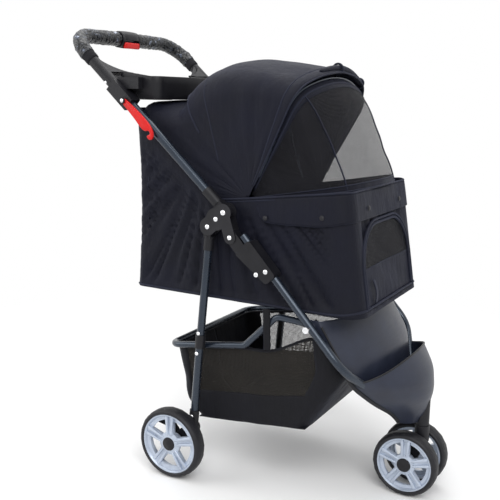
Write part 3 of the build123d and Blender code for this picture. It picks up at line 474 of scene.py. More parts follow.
canvas_navy = canvas("navy_canvas", (0.0030, 0.0033, 0.0070), (0.0080, 0.0088, 0.0185))
canvas_trim = canvas("navy_piping", (0.008, 0.009, 0.017), (0.020, 0.023, 0.041), 0.0008)
canvas_inside = canvas("inner_lining", (0.003, 0.003, 0.0045), (0.007, 0.007, 0.010))
basket_canvas = canvas("basket_cloth", (0.0035, 0.0035, 0.0050), (0.0090, 0.0090, 0.0125))
webbing_black = canvas("black_webbing", (0.003, 0.003, 0.004), (0.008, 0.008, 0.011), 0.0016)
hood_net = net("hood_net", 0.27, (0.011, 0.011, 0.014))
basket_net = net("basket_net", 0.44, (0.015, 0.0135, 0.012), 0.0032)
tube_black = moulded("gloss_black_tube", (0.005, 0.007, 0.012), (0.011, 0.015, 0.024), 0.20, 0.36, 0.05,
                     Specular_Tint=(0.62, 0.78, 1.0, 1), Coat_Weight=0.35, Coat_Roughness=0.14)
plastic_black = moulded("black_moulding", (0.005, 0.005, 0.007), (0.011, 0.011, 0.014), 0.34, 0.52,
                        Specular_IOR_Level=0.28)
plastic_slate = moulded("slate_moulding", (0.013, 0.016, 0.029), (0.021, 0.026, 0.045), 0.34, 0.48, 0.2,
                        Specular_IOR_Level=0.4)
plate_dark = moulded("dark_hinge_plate", (0.006, 0.006, 0.008), (0.013, 0.013, 0.017), 0.32, 0.48, 0.2,
                     Specular_IOR_Level=0.35)
steel_bright = moulded("bright_rivet", (0.72, 0.73, 0.75), (0.88, 0.88, 0.90), 0.14, 0.3, 0.1, Metallic=1.0)
red_gloss = moulded("red_moulding", (0.56, 0.006, 0.006), (0.70, 0.012, 0.010), 0.26, 0.40, 0.15,
                    Specular_IOR_Level=0.3, Coat_Weight=0.1, Coat_Roughness=0.15)
rim_silver = moulded("silver_rim", (0.36, 0.41, 0.50), (0.50, 0.56, 0.66), 0.26, 0.42, 0.12, Metallic=0.35,
                     Coat_Weight=0.3, Coat_Roughness=0.2)
tyre_black = moulded("tyre_rubber", (0.005, 0.005, 0.007), (0.012, 0.012, 0.016), 0.42, 0.62, 0.6,
                     Specular_IOR_Level=0.35)
foam_black = moulded("grip_foam", (0.006, 0.006, 0.008), (0.014, 0.014, 0.017), 0.7, 0.9, 0.9,
                     Specular_IOR_Level=0.2)
film_clear = wrapped_film()


# Canopy: one curved sheet over the two bows, sewn down along the handle

def arch(half, top, corner, low, share):
    """(y, radius) on a hood arch; share is 0 at the right foot, 0.5 at the crown, 1 at the left foot."""
    turn = radians(70)
    crown_r = (half - corner + corner * cos(turn)) / cos(turn)
    centre = top - crown_r + (crown_r - corner) * sin(turn)
    crown = crown_r * (pi / 2 - turn)
    bend = corner * turn
    leg = centre - low
    run = abs(share - 0.5) * 2 * (crown + bend + leg)
    if run <= crown:
        angle = run / crown_r
        y, r = crown_r * sin(angle), top - crown_r + crown_r * cos(angle)
    elif run <= crown + bend:
        angle = pi / 2 - turn + (run - crown) / corner
        y, r = half - corner + corner * sin(angle), centre + corner * cos(angle)
    else:
        y, r = half, centre - (run - crown - bend)
    return (y if share > 0.5 else -y), r


def hood_at(angle, r, y):
    return (HOOD_X + r * cos(radians(angle)), y, HOOD_Z + r * sin(radians(angle)))


def turn_at(r, foot, lean):
    """Angle about the hood's axis where a straight line from a foot reaches a radius."""
    fx, fz = foot[0] - HOOD_X, foot[1] - HOOD_Z
    dx, dz = cos(radians(lean)), sin(radians(lean))
    middle = fx * dx + fz * dz
    run = -middle + sqrt(max(0.0, middle * middle + r * r - fx * fx - fz * fz))
    angle = atan2(fz + run * dz, fx + run * dx) * 180 / pi
    return angle if angle > -90 else angle + 360


FRONT_DROP = 13.0  # the cloth hangs lower at the front bow than at the rear one
SEAM_FOOT, SEAM_LEAN = (-42.2, 612.6), 138.4  # the seam along the handle
BOW_FOOT, BOW_LEAN = (-11.0, 606.0), 105.9  # the rear bow
ROLL_TURN = 67.5  # the rolled cover lies along the front bow


def seam_turn(r):
    return turn_at(r, SEAM_FOOT, SEAM_LEAN) if r > 78 else 186.0


def bow_turn(r, least=52.0):
    return turn_at(max(r, least), BOW_FOOT, BOW_LEAN)


def crown_share(r):
    """0 low on the canopy's sides, 1 on its crown."""
    return smooth((r - 150) / 120)


def step_turn(crown):
    """Angle of the step in the canopy's rear."""
    return mix(134.0, 129.5, crown)


def canopy_arch(share):
    return arch(CABIN_HALF, HOOD_R, 60.0, 3.0, share)


def canopy_skin(y, r, angle, lift=0.0):
    """A canopy point: slack between the bows, drawn folds at the sides and a stepped, full rear."""
    bow = bow_turn(r)
    crown = crown_share(r)
    if angle < bow:
        slack = sin(pi * (angle - FRONT_BOW) / (bow - FRONT_BOW)) ** 2
        r -= (13.0 * slack + FRONT_DROP * smooth((100 - angle) / 30)) * crown
    else:
        slack = sin(pi * min(1.0, (angle - bow) / 40)) ** 2
        r -= 9.0 * slack * crown
        r -= 6.0 * smooth((angle - step_turn(crown)) / 1.2) * crown
        full = smooth((angle - 136.5) / 13) * crown
        r += (47.0 + 0.9 * (HOOD_R - max(r, 262.0))) * full
        angle -= 1.5 * full
    side = 1 - smooth((r - 190) / 90)
    fan = 0.5 + 0.5 * ripple(angle / 7.5, r / 170, 3.1)
    fine = ripple(angle / 3.0, r / 60, 8.7)
    inward = side * smooth(r / 70) * (5.0 * fan + 1.2 * fine) + 1.0
    wave = (1 - side) * 1.4 * ripple(y / 55, angle / 9, 5.5)
    x, _, z = hood_at(angle, r + lift + wave, 0)
    reach = abs(y) - inward + lift * side
    return (x, reach if y > 0 else -reach, z)


def canopy_at(u, v):
    y, r = canopy_arch(u)
    tuck = 2.4 * (1 - crown_share(r))
    return canopy_skin(y, r, FRONT_BOW + v * (seam_turn(r) + tuck - FRONT_BOW))


def band_at(u, v):
    """The band sewn on along the front bow."""
    return canopy_skin(*canopy_arch(mix(0.03, 0.97, u)), FRONT_BOW + 0.4 + 5.2 * v, 1.2 + 1.6 * sin(pi * v))


def over_arch(end, turn, lift, radius):
    """Piping from one side of the canopy to the other, with its angle given by the radius."""
    points = []
    for t in steps(90):
        y, r = canopy_arch(mix(end, 1 - end, t))
        points.append(canopy_skin(y, r, turn(r), lift))
    return cord_of("piping", points, radius)


canopy = sheet_of("canopy_cloth", 150, 84, canopy_at, (0.86, 0.42), True)
thicken(canopy, 1.4)
dress(canopy, canvas_navy, *CABIN, "canopy")
band = sheet_of("front_bow_band", 110, 6, band_at, (0.86, 0.027), True)
thicken(band, 1.0)
dress(band, canvas_navy, *CABIN)
piping = [over_arch(0.03, lambda r, a=a: a, 1.6, 1.7) for a in (64.8, 70.2)]
piping += [over_arch(0.115, bow_turn, 0.6, 1.7), over_arch(0.12, lambda r: bow_turn(r) + 1.0, 0.2, 0.9),
           over_arch(0.2, lambda r: step_turn(crown_share(r)) - 0.5, 1.0, 2.2)]
canopy_piping = dress(joined("canopy_piping", piping), canvas_trim, *CABIN)


def cover_roll_at(u, v):
    """The front cover rolled up along the bow, slack at its far end."""
    y, r = canopy_arch(mix(0.40, 0.80, u))
    end = sin(pi * min(1.0, max(0.0, u))) ** 0.25
    radius = (8.5 + 1.5 * ripple(u * 6, v * 2, 2.2) + 2.5 * smooth((u - 0.6) / 0.3)) * end
    spin = 2 * pi * v
    rise = r - FRONT_DROP + 4.5 + radius * sin(spin) * 0.8
    x, _, z = hood_at(ROLL_TURN + radius * cos(spin) * 0.19, rise, 0)
    return (x, y + 2 * sin(9 * u), z)


roll = sheet_of("rolled_front_cover", 70, 18, cover_roll_at, (0.30, 0.06), True)
dress(roll, canvas_navy, *CABIN)
straps = []
for share in (0.50, 0.68):
    y, r = canopy_arch(share)
    loop = [hood_at(ROLL_TURN + 2.2 * cos(2 * pi * t), r - FRONT_DROP + 4.0 + 10.0 * sin(2 * pi * t), y)
            for t in steps(24)]
    straps.append(cord_of("strap", loop, 2.4))
roll_straps = dress(joined("cover_straps", straps), canvas_trim, *CABIN)


def bow_wire(name, node, turn, drop=0.0):
    half, top = CABIN_HALF - 6.9, HOOD_R - 6.9 - drop
    points = []
    for t in steps(60):
        y, r = arch(half, top, 53.5, 55.0, t)
        points.append(hood_at(turn(r), r - 6.0, y * 0.985))
    folds_away(dress(cord_of(name, points, 2.5), tube_black, "front_frame", "frame_tube", node))


bow_wire("front_bow_wire", "front_bow", lambda r: FRONT_BOW + 1.5, FRONT_DROP)
bow_wire("rear_bow_wire", "rear_bow", lambda r: bow_turn(r, 55.0))


# Mesh hood in front of the canopy

HOOD_LEVELS = ((6.9, 219.0), (28.0, 213.0), (45.0, 227.0), (63.5, 262.0))
HOOD_LOW, HOOD_EDGE, HOOD_TUCK = 6.9, 63.5, 70.5  # rim, canopy's edge and how far the mesh goes under it
CORNER_SHARE = 0.298  # where the mesh turns from the right side to the front


def hood_skin(share, angle, lift=0.0):
    y, r = arch(167.0 + lift, eased(HOOD_LEVELS, angle) + lift, 52.0, 8.0, share)
    front = smooth((r - 120) / 90)
    middle = sin(pi * min(1.0, max(0.0, (angle - HOOD_LOW) / (HOOD_EDGE - HOOD_LOW))))
    slack = middle * (3.0 * front + 1.5 * ripple(share * 14, angle / 14, 6.4))
    x, _, z = hood_at(angle, r - slack * front, 0)
    return (x, y * (1 - 0.008 * (1 - front) * middle), z)


def hood_band(low, high, lift):
    def band_skin(u, v):
        return hood_skin(mix(0.01, 0.99, u), mix(low, high, v), lift)
    band = sheet_of("hem", 90, 4, band_skin, (0.78, 0.014))
    thicken(band, 0.9, 0)
    return band


hood = sheet_of("hood_mesh", 90, 48, lambda u, v: hood_skin(u, mix(HOOD_LOW, HOOD_TUCK, v)), (0.78, 0.27))
dress(hood, hood_net, "visor", "mesh_cloth", "visor", "visor_pins")
trims = [cord_of("trim", [hood_skin(s, mix(HOOD_LOW + 0.3, HOOD_EDGE, t), 0.8) for t in steps(40)], 1.6)
         for s in (CORNER_SHARE, 1 - CORNER_SHARE)]
for angle, lift, radius in ((7.1, 1.2, 2.0), (10.4, 1.2, 1.4), (62.9, 0.9, 2.0)):
    trims.append(cord_of("trim", [hood_skin(mix(0.02, 0.98, t), angle, lift) for t in steps(90)], radius))
hood_trim = dress(joined("hood_piping", trims), canvas_trim, *HOOD)
hems = [hood_band(7.0, 10.4, 0.7), hood_band(60.4, 70.2, 0.5)]
hood_hems = dress(joined("hood_hems", hems), canvas_navy, *HOOD)


# Cabin: a slack cloth box with drawn corners, an arched doorway and a hem all round

CABIN_TOP = ((-247.0, 794.4), (-42.2, 612.6), (35.0, 621.0), (246.0, 646.0))
CABIN_REAR, FLOOR_Z, MID_Z = -247.0, 405.0, 530.0
FACE_LOW, FACE_HIGH, FACE_RISE = 285.0, 246.0, 241.0  # the front's x at the floor and rim, and its height
FACE_LEAN = atan2(FACE_LOW - FACE_HIGH, FACE_RISE)
CABIN_SPANS = (159.0, 31.4, 472.0, 62.8, 139.0)
DOOR_LOW, DOOR_HIGH, DOOR_HALF, DOOR_CORNER = 419.0, 579.0, 134.0, 88.0
RIM_SHARE = 0.235  # where the rim's piping starts on the right side


def round_plan(share, rear, front, half, near, far, spans):
    """(x, y) round an oblong, from the middle of its rear by the right side to the middle of its front.

    Share is 0 at the rear and 0.5 at the front; near and far are the radii of the rear and front corners,
    and spans the lengths of half a rear, a corner, a side, a corner and half a front.
    """
    left = share > 0.5
    run = (1 - share if left else share) * 2 * sum(spans)
    ends = [sum(spans[:k]) for k in range(1, 5)]
    if run <= ends[0]:
        x, y = rear, run / spans[0] * (half - near)
    elif run <= ends[1]:
        a = (run - ends[0]) / spans[1] * pi / 2
        x, y = rear + near - near * cos(a), half - near + near * sin(a)
    elif run <= ends[2]:
        x, y = mix(rear + near, front - far, (run - ends[1]) / spans[2]), half
    elif run <= ends[3]:
        a = (run - ends[2]) / spans[3] * pi / 2
        x, y = front - far + far * sin(a), half - far + far * cos(a)
    else:
        x, y = front, (half - far) * (1 - (run - ends[3]) / spans[4])
    return x, (y if left else -y)


def cabin_front(z):
    return mix(FACE_LOW, FACE_HIGH, (z - FLOOR_Z) / FACE_RISE)


def cabin_plan(share, z, grow=0.0):
    """(x, y) round the cabin at a height, let out by grow."""
    return round_plan(share, CABIN_REAR - grow, cabin_front(z) + grow, CABIN_HALF + grow, 20.0 + grow,
                      40.0 + grow, CABIN_SPANS)


def cabin_top(x):
    return along_line(CABIN_TOP, x)


def folds(across, z):
    """How far slack cloth is drawn in: sharp creases with soft swells between them."""
    broad = abs(ripple(across, z / 280, 1.3))
    narrow = abs(ripple(across * 2.3, z / 150, 4.2))
    swell = 0.5 + 0.5 * ripple(across * 0.5, z / 120, 7.9)
    return 9.5 * (1 - min(1.0, 2.4 * broad)) ** 1.4 + 3.4 * (1 - min(1.0, 2.6 * narrow)) + 3.0 * swell


def cabin_at(u, v):
    x, y = cabin_plan(u, MID_Z)
    z = mix(FLOOR_Z, cabin_top(x), v)
    hang = smooth(v / 0.10) * smooth((0.95 - v) / 0.22)
    side = smooth((abs(y) - 150) / 25)
    upright = folds(y / 24, z)
    fanned = folds((x + 25) / (780 - z) * 12, z)
    rear = smooth((-205 - x) / 35)
    taut = max(0.85 * rear, 0.9 * smooth((x - 185) / 45) * smooth((abs(y) - 100) / 40))
    grow = -0.6 - hang * (1 - taut) * mix(0.7 * upright, fanned, side) - 6.0 * rear * sin(pi * v)
    x, y = cabin_plan(u, z, grow)
    return (x, y, z)


def on_front(y, z, out=0.0):
    """A point on the leaning front of the cabin."""
    return (cabin_front(z) + out * cos(FACE_LEAN), y, z + out * sin(FACE_LEAN))


def door_edge(shrink=0.0):
    """The arched doorway's (y, z) outline, from its right foot over the crown to its left foot."""
    half, corner, top, foot = DOOR_HALF - shrink, DOOR_CORNER - shrink, DOOR_HIGH - shrink, DOOR_LOW + shrink
    angles = [t * pi / 2 for t in steps(14)]
    right = [(corner - half - corner * cos(a), top - corner + corner * sin(a)) for a in angles]
    return [(-half, foot)] + right + [(-y, z) for y, z in reversed(right)] + [(half, foot)]


cabin = sheet_of("cabin_body", 260, 56, cabin_at, (1.73, 0.28), True)
thicken(cabin, 1.8)
doorway = [place(*on_front(y, z, -30)) for y, z in door_edge()]
cut_away(cabin, plate("door_cutter", doorway, Vector((0.06, 0, 0))))
dress(cabin, canvas_navy, *CABIN, "cabin_shell")
floor_edge = [place(*cabin_plan(k / 72, FLOOR_Z, -1.5), FLOOR_Z + 0.5) for k in range(72)]
cabin_base = dress(plate("cabin_base", floor_edge, Vector((0, 0, 0.0022)), 0.6), canvas_navy, *CABIN)


def round_cabin(first, last, height, grow):
    """A line round the cabin, at a height that depends on x."""
    points = []
    for t in steps(160):
        share = mix(first, last, t)
        z = height(cabin_plan(share, MID_Z)[0])
        points.append((*cabin_plan(share, z, grow), z))
    return points


def foot_height(x):
    return FLOOR_Z + 4 + 10 * smooth((x - 170) / 110) ** 2


hems = [cord_of("hem", round_cabin(0, 1, foot_height, 0.4)[:-1], 2.6, True)]
for drop, radius in ((0.5, 2.2), (6.0, 1.5)):
    rim_line = round_cabin(RIM_SHARE, 1 - RIM_SHARE, lambda x, drop=drop: cabin_top(x) - drop, 0.9)
    hems.append(cord_of("hem", rim_line, radius))
for share in (0.117, 0.883, 0.405, 0.595):
    hems.append(cord_of("hem", [cabin_at(share, mix(0.01, 0.985, t)) for t in steps(40)], 1.4))
cabin_hems = dress(joined("cabin_piping", hems), canvas_trim, *CABIN)


def pad_at(u, v):
    """The floor board in its quilted cover."""
    x, y = mix(-230.0, 268.0, u), mix(-160.0, 160.0, v)
    tuft = abs(sin(pi * u * 5)) ** 0.5 * abs(sin(pi * v * 3)) ** 0.5
    edge = min(1.0, 12 * min(u, 1 - u, v, 1 - v))
    return (x, y, FLOOR_Z + 8.2 + 5.4 * edge * (0.55 + 0.45 * tuft))


pad = sheet_of("floor_pad", 60, 40, pad_at, (0.50, 0.32))
thicken(pad, 3.5)
dress(pad, canvas_inside, *CABIN, "floor_board")


# Cuff that hangs over the cabin's rim

CUFF_SHARE, CUFF_CORNER = 0.287, 26.0
HALF_ROUND = 864.0  # half the way round the cabin
CUFF_LENGTH = (1 - 2 * CUFF_SHARE) * 2 * HALF_ROUND
CUFF_LOW = ((40.0, 577.0), (120.0, 577.0), (195.0, 579.5), (246.0, 591.0), (300.0, 593.0))


def cuff_at(u, v):
    share = mix(CUFF_SHARE, 1 - CUFF_SHARE, u)
    x, _ = cabin_plan(share, 610.0)
    low = eased(CUFF_LOW, x)
    gap = min(u, 1 - u) * CUFF_LENGTH
    if gap < CUFF_CORNER:
        low += CUFF_CORNER - sqrt(CUFF_CORNER ** 2 - (CUFF_CORNER - gap) ** 2)
    z = mix(low, cabin_top(x) - 3.0, v)
    flare = (1 - v) * (1.2 + 1.3 * ripple(share * 46, z / 60, 2.8))
    proud = mix(-0.4, 1.3 + flare + 0.5 * sin(pi * v), smooth((gap - 12) / 50))
    return (*cabin_plan(share, z, proud), z)


cuff = sheet_of("cuff_flap", 170, 16, cuff_at, (0.50, 0.055), True)
thicken(cuff, 1.4)
dress(cuff, canvas_navy, *CABIN, "front_cuff")
edge = [cuff_at(0.0, v / 10) for v in range(10, 0, -1)] + [cuff_at(u / 170, 0) for u in range(171)]
edge += [cuff_at(1.0, v / 10) for v in range(1, 11)]
inner = [cuff_at(mix(0.012, 0.988, u / 170), 0.13) for u in range(171)]
beads = [cord_of("bead", edge, 1.3), cord_of("bead", inner, 0.7)]
cuff_piping = dress(joined("cuff_piping", beads), canvas_trim, *CABIN)
snaps = []
snap = ((0.0, 2.4), (2.4, 2.2), (3.2, 1.5), (4.4, 1.4), (5.0, 0.7), (5.0, 0.0), (0.0, 0.0))
for x, y, z, axis in ((76.8, -182.6, 586.0, (0, -1, 0)), (199.4, -182.6, 597.0, (0, -1, 0)),
                      (76.8, 182.6, 586.0, (0, 1, 0)), (199.4, 182.6, 597.0, (0, 1, 0)),
                      (255.5, -89.5, 611.0, (1, 0, 0.14)), (255.5, 89.5, 611.0, (1, 0, 0.14))):
    snaps.append(turned("snap", snap, place(x + 2.6 * axis[0], y, z), axis, 20))
cuff_snaps = dress(joined("cuff_snaps", snaps), plate_dark, "front_frame", "hinge_plate")


# Arched front door: mesh above, cloth below, a thick piped edge and a zip

def door_half(z):
    """Half the door's width at a height, a little less than the doorway's."""
    lift = z - (DOOR_HIGH - DOOR_CORNER)
    if lift <= 0:
        return DOOR_HALF - 0.8
    return DOOR_HALF - DOOR_CORNER + sqrt(max(0.0, (DOOR_CORNER - 0.8) ** 2 - lift ** 2))


def door_at(u, v, low, high):
    z = mix(low, high, v)
    half = door_half(z)
    y = mix(-half, half, u)
    inside = (1 - (2 * u - 1) ** 4) * sin(pi * (z - DOOR_LOW) / (DOOR_HIGH - DOOR_LOW)) ** 0.6
    fold = ripple(y / 45 + z / 40, z / 70, 9.2) + 0.6 * sin((y + 1.4 * z) / 26)
    return on_front(y, z, -1.4 - inside * (2.6 + 2.2 * fold))


SILL = 492.0
door_top = sheet_of("door_mesh", 56, 26, lambda u, v: door_at(u, v, SILL, DOOR_HIGH - 1.2), (0.26, 0.09))
dress(door_top, hood_net, "front_door", "mesh_cloth", "front_door")
door_low = sheet_of("door_cloth", 56, 24, lambda u, v: door_at(u, v, DOOR_LOW + 0.8, SILL + 2), (0.27, 0.075))
thicken(door_low, 1.2)
dress(door_low, canvas_navy, *DOOR)
rim = [on_front(y, z, 0.2) for y, z in door_edge(3.2)]
sill = [door_at(t, 0, SILL + 1, SILL + 2) for t in steps(40)]
beads = [cord_of("bead", rim, 3.0), cord_of("bead", sill, 1.4)]
door_piping = dress(joined("door_piping", beads), canvas_trim, *DOOR)
frame_edge = [on_front(y, z, 0.8) for y, z in door_edge(-4.0)]
doorway_piping = dress(cord_of("doorway_piping", frame_edge, 2.6), canvas_trim, *CABIN)


def tab_at(u, v):
    """A webbing pull, hung slack from its slider."""
    sway = 5.0 * sin(2.4 * v)
    return on_front(-96.0 + sway + 11 * (u - 0.5), 470.0 - 46 * v, 2.2 + 3.0 * sin(pi * v))


pull = sheet_of("zip_pull", 4, 14, tab_at, (0.009, 0.046))
thicken(pull, 1.4, 0)
dress(pull, canvas_trim, *DOOR)

for piece in (canopy, band, canopy_piping, roll, roll_straps, cabin, cabin_base, cabin_hems, pad, cuff,
              cuff_piping, cuff_snaps, doorway_piping, hood, hood_trim, hood_hems, door_top, door_low,
              door_piping, pull):
    folds_away(piece)


# Basket: a slack bag on the rail, with mesh windows in its sides

BAG_REAR = ((0.0, -90.0, 119.0), (0.28, -130.0, 154.0), (1.0, -153.5, 279.0))
BAG_FRONT = ((0.0, 164.0, 147.0), (0.68, 250.0, 268.0), (1.0, 236.0, 318.0))
BAG_RISE = ((0.0, 0.0), (0.45, 12.0), (0.62, 6.0), (0.87, 50.0), (0.95, 30.0), (1.0, 0.0))
BAG_SPANS = (140.0, 41.0, 310.0, 56.0, 130.0)
BAG_HALF, BAG_NEAR, BAG_FAR, BAG_LENGTH = 166.0, 26.0, 36.0, 372.0
BAG_CLOTH = (1.35, 0.20)
WINDOW_REAR, WINDOW_FRONT, WINDOW_LOW, WINDOW_HIGH = 0.08, 0.86, 0.42, 0.97


def bag_plan(share):
    """(share of the length, y) round the bag from the middle of its rear, by the right side."""
    x, y = round_plan(share, 0.0, BAG_LENGTH, BAG_HALF, BAG_NEAR, BAG_FAR, BAG_SPANS)
    return x / BAG_LENGTH, y


def bag_side(e, v):
    def on(stops):
        return (eased([(s[0], s[1]) for s in stops], v), eased([(s[0], s[2]) for s in stops], v))
    rear, front = on(BAG_REAR), on(BAG_FRONT)
    return mix(rear[0], front[0], e), mix(rear[1], front[1], e) + v * v * eased(BAG_RISE, e)


def bag_at(u, v):
    e, y = bag_plan(u)
    x, z = bag_side(e, v)
    slack = sin(pi * v) ** 0.8 * (3.0 + 3.0 * ripple(u * 26, v * 3, 6.1) + 1.2 * ripple(u * 70, v * 8, 2.4))
    tuck = 1 - 0.06 * (1 - v) ** 3
    pull = slack / 170
    return (mix(x, 40.0, pull), y * tuck * (1 - pull), z)


bag = sheet_of("basket_bag", 220, 40, bag_at, BAG_CLOTH, True)
bpy.ops.object.mode_set(mode="EDIT")
bpy.ops.mesh.select_mode(type="FACE")
bpy.ops.mesh.select_all(action="DESELECT")
close_edit()
uv = bag.data.uv_layers[0].data
for face in bag.data.polygons:
    spots = [uv[k].uv for k in face.loop_indices]
    u, v = (sum(s[k] for s in spots) / len(spots) / BAG_CLOTH[k] for k in (0, 1))
    face.select = WINDOW_REAR < bag_plan(u)[0] < WINDOW_FRONT and v > WINDOW_LOW
bpy.ops.object.mode_set(mode="EDIT")
bpy.ops.mesh.separate(type="SELECTED")
bpy.ops.mesh.select_mode(type="VERT")
close_edit()
bag_window = [obj for obj in bpy.context.selected_objects if obj != bag][0]
bag_window.name = "basket_windows"
thicken(bag, 1.6)
dress(bag, basket_canvas, *BASKET, "basket")
dress(bag_window, basket_net, "basket_frame", "mesh_cloth")


def bag_floor_at(u, v):
    x, z = bag_side(u, 0.0)
    sag = sin(pi * u) * sin(pi * v)
    return (x, mix(-157.0, 157.0, v), z + 0.6 - 5.0 * sag + 1.2 * ripple(u * 8, v * 6, 3.3))


bag_floor = sheet_of("basket_floor", 50, 50, bag_floor_at, (0.27, 0.31))
thicken(bag_floor, 1.6)
dress(bag_floor, basket_canvas, *BASKET)


def window_edge(start, end, left):
    """A bead from one (share of the length, height) spot of a window to another."""
    points = []
    for t in steps(24):
        run = BAG_SPANS[0] + BAG_SPANS[1] + mix(start[0], end[0], t) * BAG_LENGTH - BAG_NEAR
        u = 0.5 * run / sum(BAG_SPANS)
        points.append(bag_at(1 - u if left else u, mix(start[1], end[1], t)))
    return cord_of("bead", points, 1.3)


beads = [cord_of("bead", [bag_at(k / 220, height) for k in range(220)], radius, True)
         for height, radius in ((0.985, 3.0), (0.02, 1.8))]
rear_foot, rear_top = (WINDOW_REAR, WINDOW_LOW), (WINDOW_REAR, WINDOW_HIGH)
front_foot, front_top = (WINDOW_FRONT, WINDOW_LOW), (WINDOW_FRONT, WINDOW_HIGH)
for left in (False, True):
    for start, end in ((rear_foot, front_foot), (front_foot, front_top), (rear_foot, rear_top)):
        beads.append(window_edge(start, end, left))
bag_hems = dress(joined("basket_hems", beads), basket_canvas, *BASKET)


straps = []
for sign in (-1, 1):
    def strap_at(u, v, sign=sign):
        """A strap from the cabin's floor down to the bag."""
        x = 84.0 + 16 * (u - 0.5) + 2.5 * sin(pi * v)
        return (x, sign * (mix(183.0, 176.0, v) + 4.0 * sin(pi * v) ** 2), mix(401.0, 312.0, v))
    strap = sheet_of("strap", 4, 22, strap_at, (0.016, 0.09))
    thicken(strap, 1.6, 0)
    straps.append(strap)
bag_straps = dress(joined("basket_straps", straps), webbing_black, *BASKET)
for piece in (bag, bag_window, bag_floor, bag_hems, bag_straps):
    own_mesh(piece)


# Wheels, drawn once about the Y axis with the outer face towards +Y

ORIGIN, ACROSS = Vector((0, 0, 0)), (0, 1, 0)
TYRE_DEPTH = 11.0
SPOKES = 5
BOLT = ((0.0, 2.0), (1.4, 1.8), (2.2, 1.0), (2.5, 0.0), (2.5, -1.0), (0.0, -1.0))
CAP = ((0.0, 17.4), (7.0, 17.3), (8.0, 16.6), (12.2, 16.4), (14.2, 15.4), (14.9, 13.8), (14.9, 12.8),
       (0.0, 12.8))


def flat_ring(r, first, last, count, y):
    """Points on an arc about the wheel's axis, y metres along it."""
    angles = [mix(first, last, t) for t in steps(count)]
    return [Vector((r * cos(a), y / MM, r * sin(a))) * MM for a in angles]


def wheel_rim(seat):
    """A dished rim: a window between each two spokes, two ridges and a bolt on each; seat is its radius."""
    profile = ((seat - 4, -13.4), (seat - 0.1, -13.4), (seat - 0.1, 13.0), (seat - 1.1, 14.2),
               (seat - 3.1, 14.2), (seat - 4.3, 12.8), (seat - 6.1, 9.0), (seat - 12, 7.4),
               (0.55 * seat, 7.8), (22, 10.4), (17, 13.0), (14.6, 13.4), (5.1, 13.4), (5.1, -15.4),
               (15, -15.4), (15, 2), (0.55 * seat, 1.6), (seat - 7.5, 1.6), (seat - 4, -2), (seat - 4, -13.4))
    dish = turned("rim", profile, ORIGIN, ACROSS, 80)
    near, far, half = 0.38 * seat, 0.79 * seat, 9.6
    spread_far, spread_near = (pi / SPOKES - atan2(half, sqrt(r ** 2 - half ** 2)) for r in (far, near))
    for spoke in range(SPOKES):
        middle = radians(90 + 36 + 72 * spoke)
        shape = flat_ring(far, middle - spread_far, middle + spread_far, 10, -0.02)
        shape += flat_ring(near, middle + spread_near, middle - spread_near, 3, -0.02)
        cut_away(dish, plate("window", shape, Vector((0, 0.04, 0))))
    parts = [dish]
    for spoke in range(SPOKES):
        along = radians(90 + 72 * spoke)
        out = Vector((cos(along), 0, sin(along)))
        aside = Vector((-sin(along), 0, cos(along)))
        for offset in (-1, 1):
            near_mid, far_mid = 5.0 * offset, 7.4 * offset
            corners = ((15.5, near_mid - 2.2), (seat - 5, far_mid - 3.4), (seat - 5, far_mid + 3.4),
                       (15.5, near_mid + 2.2))
            bar = [(out * a + aside * b + Vector((0, 4.0, 0))) * MM for a, b in corners]
            parts.append(plate("ridge", bar, Vector((0, 8.8 * MM, 0)), 1.5, 3))
        parts.append(turned("bolt", BOLT, (out * 20.5 + Vector((0, 11.4, 0))) * MM, ACROSS, 14))
    rim = joined("rim", parts)
    soften(rim, 30)
    return rim


def wheel_tyre(radius):
    """A plump tyre with two wavy ribs moulded low in its tread."""
    seat = radius - TYRE_DEPTH
    shoulder = ((seat, -14.4), (seat + 1.6, -15.9), (seat + 5.4, -15.6), (radius - 3.4, -13.6),
                (radius - 1.9, -10.6), (radius - 1.0, -5.4))
    profile = shoulder + ((radius - 0.7, 0),) + tuple((r, -y) for r, y in reversed(shoulder)) + shoulder[:1]
    parts = [turned("tyre", profile, ORIGIN, ACROSS, 96)]
    for offset in (-1, 1):
        for base, swing in ((4.6, 1.5), (10.2, 1.7)):
            wave = []
            for k in range(180):
                a = 2 * pi * k / 180
                y = base + swing * sin(20 * a)
                r = radius - 1.7 - 1.2 * smooth((y - 6) / 6)
                wave.append((r * cos(a) - SHIFT, offset * y, r * sin(a)))
            parts.append(cord_of("rib", wave, 1.0, True, 2))
    tyre = joined("tyre", parts)
    soften(tyre, 40)
    return tyre


for end, x, y, radius in (("rear", -121.0, 221.55, 78.0), ("front", 345.0, 33.0, 70.0)):
    masters = ((wheel_rim(radius - TYRE_DEPTH), "rim", rim_silver, "rim_silver"),
               (wheel_tyre(radius), "tyre", tyre_black, "tyre"),
               (turned("cap", CAP, ORIGIN, ACROSS, 40), "hub_cap", plastic_black, "black_plastic"))
    for side, sign in (("left", 1), ("right", -1)):
        for master, kind, finish, slot in masters:
            piece = copy_of(master, f"{end}_{side}_{kind}", sign < 0, place(x, sign * y, radius))
            dress(piece, finish, f"{end}_wheel_{side}", slot, f"{end}_{kind}_{side}")
    for master in masters:
        bpy.data.objects.remove(master[0])


# Front shell: the slate panel under the cabin and the bowl at the nose

BOWL = ((157.0, 328.0, 360.0, 36.1), (185.0, 318.0, 375.0, 62.1), (223.0, 298.0, 382.0, 120.1),
        (262.0, 270.0, 376.0, 160.0), (312.0, 246.0, 346.0, 180.0))
PANEL = ((215.0, 300.0, 330.0, 104.0), (255.0, 272.0, 320.0, 146.1), (314.0, 250.0, 307.0, 182.0),
         (384.0, 204.0, 266.0, 182.0), (393.0, 198.0, 260.0, 182.0))
BOWL_LOW, PANEL_LOW, PANEL_HIGH = 157.0, 215.0, 393.0
TURN_BACK = 0.06  # share of the panel's width turned back at each edge


